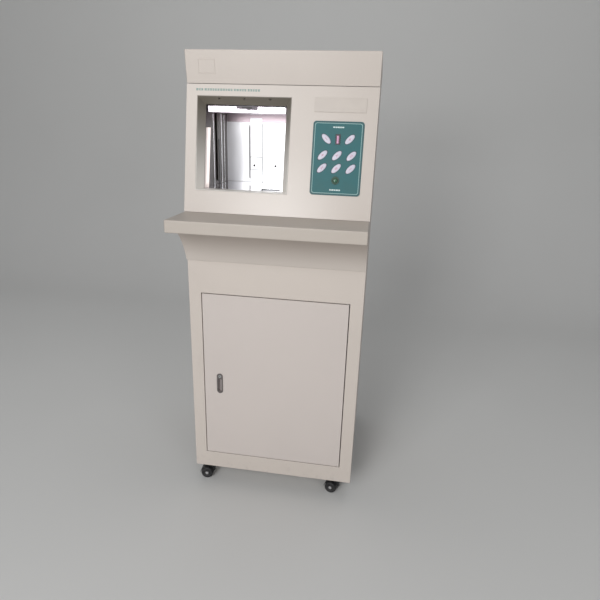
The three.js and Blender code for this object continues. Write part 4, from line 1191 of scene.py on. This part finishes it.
def press_motor():
    black = Finish("motor_enamel", (0.035, 0.038, 0.042), 0.42)
    black.give("Roughness", 0.38 + black.noise(60, 3.0) * 0.18)
    black.bump(black.noise(700), 0.00005, 0.6)
    low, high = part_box("press_motor")
    x, y = (low.x + high.x) / 2, (low.y + high.y) / 2
    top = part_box("deck_plate")[0].z - 0.0003
    gear = bar("gearbox", (low.x, low.y, top - 0.0293), (high.x, high.y, top), 0.0025, 3)
    can, radius, reach = [(low.z, 0), (low.z, 0.026),
                          (low.z + 0.004, 0.031)], 0.0335, top - 0.0293 + 0.001
    rise = low.z + 0.006
    while rise < reach - 0.005:
        can += [(rise, radius), (rise + 0.0016, radius), (rise + 0.0021, radius - 0.0028),
                (rise + 0.0040, radius - 0.0028)]
        rise += 0.0045
    can += [(reach, radius - 0.0028), (reach, 0)]
    stator = turned("stator", can, (x, y, 0), (0, 0, 1))
    shaft = turned("shaft", [(top - 0.002, 0), (top - 0.002, 0.006), (high.z - 0.0005, 0.006),
                             (high.z, 0.0055),
                             (high.z, 0)], (x, y, 0), (0, 0, 1), 32)
    fit(joined("press_gear_motor", [gear, stator, shaft]), "cabinet", "motor_paint", black.material,
        "press_motor")


press_bridge()
press_motor()


# ---------------------------------------------------------------- deck and strap head
# The deck is zinc-plated sheet. The strap head stands on it: two ground cheeks with a knurled rubber
# feed wheel and a steel pressure wheel between them.
def knurl_pattern():
    knurl = Pattern("knurl", (
        ("Width", "NodeSocketFloat", 0.028),
        ("Ridge", "NodeSocketFloat", 0.0009),
    ))
    size = knurl.vector(knurl.take("Ridge"), knurl.take("Width"), knurl.take("Ridge"))
    knurl.end(knurl.on_points(knurl.node("GeometryNodeMeshCube", {}, {"Size": size})))
    return knurl


def strap_head():
    fit(worked("deck_plate", "deck_sheet", fold=0.0008), "cabinet", "zinc_steel", zinc,
        "deck_plate")
    fit(worked("strap_head_frame", "strap_head_cheeks", fold=0.0012), "cabinet", "ground_steel",
        ground,
        "strap_head_frame")
    rubber = Finish("feed_rubber", (0.030, 0.028, 0.027), 0.7)
    rubber.give("Roughness", 0.62 + rubber.noise(200, 3.0) * 0.2)
    rubber.bump(rubber.noise(600), 0.00008, 0.6)
    for node, name, slot, finish, axle, ridges in (
        ("feed_wheel", "feed_wheel_tyre", "feed_rubber", rubber.material, 0.003, 44),
        ("pressure_wheel", "pressure_wheel_roller", "ground_steel", ground, 0.003, 0),
    ):
        low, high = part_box(node)
        centre, radius, half = (low + high) / 2, (high.z - low.z) / 2, 0.014
        face = radius - (0.0006 if ridges else 0.0)
        profile = [(low.y, 0), (low.y, axle), (centre.y - half, axle),
                   (centre.y - half, face - 0.001),
                   (centre.y - half + 0.001, face), (centre.y + half - 0.001, face),
                   (centre.y + half, face - 0.001), (centre.y + half, axle), (high.y, axle),
                   (high.y, 0)]
        wheel = turned(name, profile, (centre.x, 0, centre.z), (0, 1, 0))
        if ridges:
            turns = [2 * math.pi * i / ridges for i in range(ridges)]
            outwards = [Vector((math.cos(a), 0, math.sin(a))) for a in turns]
            spots = [centre + out * (face - 0.0002) for out in outwards]
            ribs = knurl_pattern().grown("ridges", spots, outwards, finish)
            wheel = joined(name, [wheel, ribs])
        fit(wheel, node, slot, finish, node)


strap_head()


# ---------------------------------------------------------------- strap reel
# The strap is wound on a plastic reel with two flanges. The reel turns freely on the axle of a bent
# steel stand that is bolted to the base pan. A known fault: the stand's piece has faces at its back
# that close the U between its uprights, and the reel passes through them.
def strap_reel():
    low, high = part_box("strap_reel")
    centre, radius, half = (low + high) / 2, (high.z - low.z) / 2, (high.x - low.x) / 2
    plastic = Finish("reel_plastic", (0.055, 0.060, 0.065), 0.45)
    plastic.give("Roughness", 0.4 + plastic.noise(90, 2.0) * 0.15)
    paper = Finish("wound_strap", (0.70, 0.64, 0.50), 0.65)
    layers = paper.noise(26, 3.0, (40, 1, 1))
    paper.give("Base Color", paper.mix(layers, (0.72, 0.66, 0.52), (0.60, 0.54, 0.42)))
    paper.give("Roughness", 0.55 + layers * 0.2)
    bore, flange, core, wound = 0.0083, 0.003, 0.038, radius - 0.019
    outline = [(-half, bore), (-half, radius - 0.001), (-half + 0.001, radius),
               (-half + flange - 0.001, radius),
               (-half + flange, radius - 0.001), (-half + flange, core), (half - flange, core),
               (half - flange, radius - 0.001), (half - flange + 0.001, radius),
               (half - 0.001, radius),
               (half, radius - 0.001), (half, bore), (-half, bore)]
    spool = turned("strap_spool", outline, centre, (1, 0, 0), 96)
    for i in range(6):
        angle = math.pi / 3 * i
        spot = centre + Vector((0, math.cos(angle), math.sin(angle))) * 0.066
        carve(spool, turned("window", [(-2 * half, 0), (-2 * half, 0.017), (2 * half, 0.017),
                                       (2 * half, 0)],
                            spot, (1, 0, 0), 32))
    spool.data.set_sharp_from_angle(angle=math.radians(30))
    fit(spool, "strap_reel", "strap_band", plastic.material, "strap_reel")
    inside = half - flange - 0.0004
    roll, steps = [(-inside, core + 0.0002)], 30
    for i in range(steps + 1):
        along = -inside + 2 * inside * i / steps
        roll.append((along, wound - (0.0004 if i % 2 else 0.0)))
    roll += [(inside, core + 0.0002), (-inside, core + 0.0002)]
    fit(turned("wound_strap_roll", roll, centre, (1, 0, 0), 96), "strap_reel", "strap_band",
        paper.material)
    fit(worked("reel_stand", "reel_stand_bracket", fold=0.0025), "cabinet", "zinc_steel", zinc,
        "reel_stand")
    stand_low, stand_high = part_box("reel_stand")
    plate = stand_low.z + 0.003
    clips = []
    for side, x in ((-1, stand_low.x), (1, stand_high.x)):
        start = x - side * 0.0028
        clips.append(turned("clip", [(start, 0.0081), (start, 0.0125),
                                     (start + side * 0.0014, 0.0125),
                                     (start + side * 0.0014, 0.0081), (start, 0.0081)],
                            (0, centre.y, centre.z), (1, 0, 0)))
    fit(joined("axle_clips", clips), "cabinet", "ground_steel", ground)
    feet = [((side * 0.03, stand_low.y + offset, plate), (0, 0, 1)) for side in (-1,
                                                                                 1) for offset in (0.012, 0.048)]
    screw_row("reel_stand_screws", "cabinet", feet, 0.0045, 0.0028)


strap_reel()


# ---------------------------------------------------------------- control box
# A plated box on the deck holds the control board and power supply. A finned aluminium heat sink is
# screwed to its left side, and three sockets face forward for the cables.
def fin_pattern():
    fins = Pattern("fins", (
        ("Height", "NodeSocketFloat", 0.12),
        ("Reach", "NodeSocketFloat", 0.018),
        ("Thickness", "NodeSocketFloat", 0.0016),
    ))
    size = fins.vector(fins.take("Height"), fins.take("Thickness"), fins.take("Reach"))
    fins.end(fins.on_points(fins.node("GeometryNodeMeshCube", {}, {"Size": size})))
    return fins


def control_box():
    fit(worked("control_box", "control_box_case", fold=0.0014), "cabinet", "zinc_steel", zinc,
        "control_box")
    low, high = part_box("control_box")
    alloy = Finish("heat_sink_alloy", (0.60, 0.60, 0.61), 0.42, 1.0)
    alloy.give("Roughness", 0.36 + alloy.noise(80, 2.0, (1, 1, 12)) * 0.2)
    reach, middle_z, rows = 0.018, (low.z + high.z) / 2, 11
    back = bar("sink_plate", (low.x - 0.004, low.y + 0.02, middle_z - 0.06),
               (low.x, high.y - 0.02, middle_z + 0.06))
    span = high.y - low.y - 0.05
    spots = [(low.x - 0.0035 - reach / 2, low.y + 0.025 + span * i / (rows - 1),
              middle_z) for i in range(rows)]
    blades = fin_pattern().grown("blades", spots, [(-1, 0, 0)] * rows, alloy.material, reach=reach)
    fit(joined("heat_sink", [back, blades]), "cabinet", "zinc_steel", alloy.material)
    black = Finish("connector_plastic", (0.014, 0.014, 0.015), 0.5)
    black.give("Roughness", 0.45 + black.noise(150) * 0.15)
    sockets = [bar("socket", (low.x + 0.080 + 0.018 * i, low.y - 0.006, low.z + 0.016),
                   (low.x + 0.093 + 0.018 * i, low.y, low.z + 0.030), 0.0008) for i in range(3)]
    fit(joined("control_sockets", sockets), "cabinet", "black_plastic", black.material)
    corners = [((x, y, high.z), (0, 0, 1)) for x in (low.x + 0.008, high.x - 0.008)
               for y in (low.y + 0.008, high.y - 0.008)]
    screw_row("control_box_screws", "cabinet", corners, 0.003, 0.0018)


control_box()


# ---------------------------------------------------------------- hood hinge
# A long zinc-plated hinge: its leaf is screwed to the back panel and its pin runs through barrels
# on both leaves.
def hood_hinge():
    fit(worked("lid_hinge", "hood_hinge_leaf", fold=0.0005), "cabinet", "zinc_steel", zinc,
        "lid_hinge")
    low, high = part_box("lid_hinge")
    leaf_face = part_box("back_panel")[1].y + 0.0003 + 0.0015
    count = 6
    places = [((low.x + 0.03 + (high.x - low.x - 0.06) * i / (count - 1), leaf_face, low.z + 0.010),
               (0, 1, 0))
              for i in range(count)]
    screw_row("hinge_screws", "cabinet", places, 0.0034, 0.0016)


hood_hinge()


# ---------------------------------------------------------------- mains inlet
# A black moulded inlet with three nickel pins and a rocker switch above them. A blank rating plate
# is riveted beside it.
def satin_plate():
    satin = Finish("satin_plate", (0.62, 0.58, 0.53), 0.38, 0.35)
    lines = satin.noise(60, 3.0, (0.4, 30, 30))
    satin.give("Base Color", satin.mix(lines, (0.60, 0.56, 0.51), (0.68, 0.64, 0.59)))
    satin.give("Roughness", 0.3 + lines * 0.16)
    satin.bump(lines, 0.00002, 0.5)
    return satin.material


def mains_inlet():
    black = Finish("inlet_plastic", (0.013, 0.013, 0.014), 0.42)
    black.give("Roughness", 0.38 + black.noise(160) * 0.14)
    black.bump(black.noise(1500), 0.00002, 0.5)
    fit(worked("power_inlet", "inlet_moulding", fold=0.0010), "cabinet", "black_plastic",
        black.material,
        "power_inlet")
    fit(worked("power_switch", "rocker", fold=0.0012), "power_switch", "black_plastic",
        black.material,
        "power_switch")
    low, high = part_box("power_inlet")
    x, z = (low.x + high.x) / 2, (low.z + high.z) / 2 - 0.013
    floor = high.y - 0.016
    pins = [bar("pin", (x + dx - 0.0009, floor, z + dz - 0.002),
                (x + dx + 0.0009, floor + 0.011, z + dz + 0.002), 0.0004)
            for dx, dz in ((-0.007, -0.0015), (0, 0.0022), (0.007, -0.0015))]
    fit(joined("inlet_pins", pins), "cabinet", "zinc_steel", zinc)
    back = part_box("back_panel")[1].y
    plate = bar("rating_plate", (x - 0.135, back, z - 0.010), (x - 0.055, back + 0.0008, z + 0.040),
                0.0003)
    fit(plate, "cabinet", "silver_label", satin_plate())
    rivets = [((x + dx, back + 0.0008, z + dz), (0, 1, 0)) for dx in (-0.131,
                                                                      -0.059) for dz in (-0.006,
                                                                                         0.036)]
    screw_row("rating_plate_rivets", "cabinet", rivets, 0.0018, 0.0008)


mains_inlet()


# ---------------------------------------------------------------- castors
# Twin-wheel castors: a plated top plate bolted under the base pan, a black moulded hood that swivels
# on its pin, and two black nylon wheels with bright caps on the ends of their axle.
def castors():
    moulded = Finish("castor_plastic", (0.011, 0.011, 0.012), 0.35)
    moulded.give("Roughness", 0.28 + moulded.noise(80, 3.0) * 0.2)
    tread = Finish("castor_nylon", (0.016, 0.016, 0.017), 0.5)
    dust = tread.noise(45, 4.0)
    tread.give("Base Color", tread.mix(dust.between(0.45, 0.8) * 0.6, (0.014, 0.014, 0.015),
                                       (0.075, 0.070, 0.064)))
    tread.give("Roughness", 0.4 + dust * 0.3)
    bright = polished_steel("axle_cap_steel", 0.12)
    swivels = {j["child"]: j for j in frame["joints"]}
    for corner in ("front_left", "front_right", "rear_left", "rear_right"):
        fit(worked(f"castor_plate_{corner}", f"top_plate_{corner}", fold=0.0008), "cabinet",
            "zinc_steel", zinc,
            f"castor_plate_{corner}")
        fit(worked(f"castor_hood_{corner}", f"hood_{corner}", fold=0.0012, edge=0.0006),
            f"castor_{corner}",
            "black_plastic", moulded.material, f"castor_hood_{corner}")
        roll = swivels[f"wheels_{corner}"]
        axis, centre = Vector(roll["axis"]), Vector(roll["pos_m"])
        radius, near, wide, bore = 0.018, 0.005, 0.014, 0.0026
        pieces, caps = [], []
        for side in (-1, 1):
            inner, outer = near, near + wide
            profile = [(inner, bore), (inner, radius - 0.0025), (inner + 0.0008, radius - 0.0008),
                       (inner + 0.0025, radius), (outer - 0.0025, radius),
                       (outer - 0.0008, radius - 0.0008),
                       (outer, radius - 0.0025), (outer, 0.0132), (outer - 0.0012, 0.0124),
                       (outer - 0.0018, 0.0085),
                       (outer - 0.0006, 0.0075), (outer - 0.0006, bore), (inner, bore)]
            pieces.append(turned("wheel", [(side * along, r) for along, r in profile], centre, axis,
                                 64))
            end = outer - 0.0008
            cap = [(end - 0.004, 0.0025), (end, 0.0050), (end + 0.0004, 0.0048),
                   (end + 0.0008, 0.0028),
                   (end + 0.0008, 0)]
            caps.append(turned("cap", [(side * (end - 0.004), 0), *((side * a, r) for a, r in cap)],
                               centre, axis, 32))
        rod = [(-near - 0.004, 0), (-near - 0.004, 0.0025), (near + 0.004, 0.0025),
               (near + 0.004, 0)]
        pieces.append(turned("rod", rod, centre, axis, 24))
        fit(joined(f"wheels_{corner}_pair", pieces), f"wheels_{corner}", "castor_tread",
            tread.material,
            f"castor_wheels_{corner}")
        fit(joined(f"axle_caps_{corner}", caps), f"wheels_{corner}", "polished_steel", bright)
        low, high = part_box(f"castor_plate_{corner}")
        x, y = (low.x + high.x) / 2, (low.y + high.y) / 2
        bolts = [((x + dx, y + dy, high.z - 0.0025), (0, 0, -1)) for dx in (-0.017,
                                                                            0.017) for dy in (-0.017, 0.017)]
        screw_row(f"castor_bolts_{corner}", "cabinet", bolts, 0.0030, 0.0018)


castors()
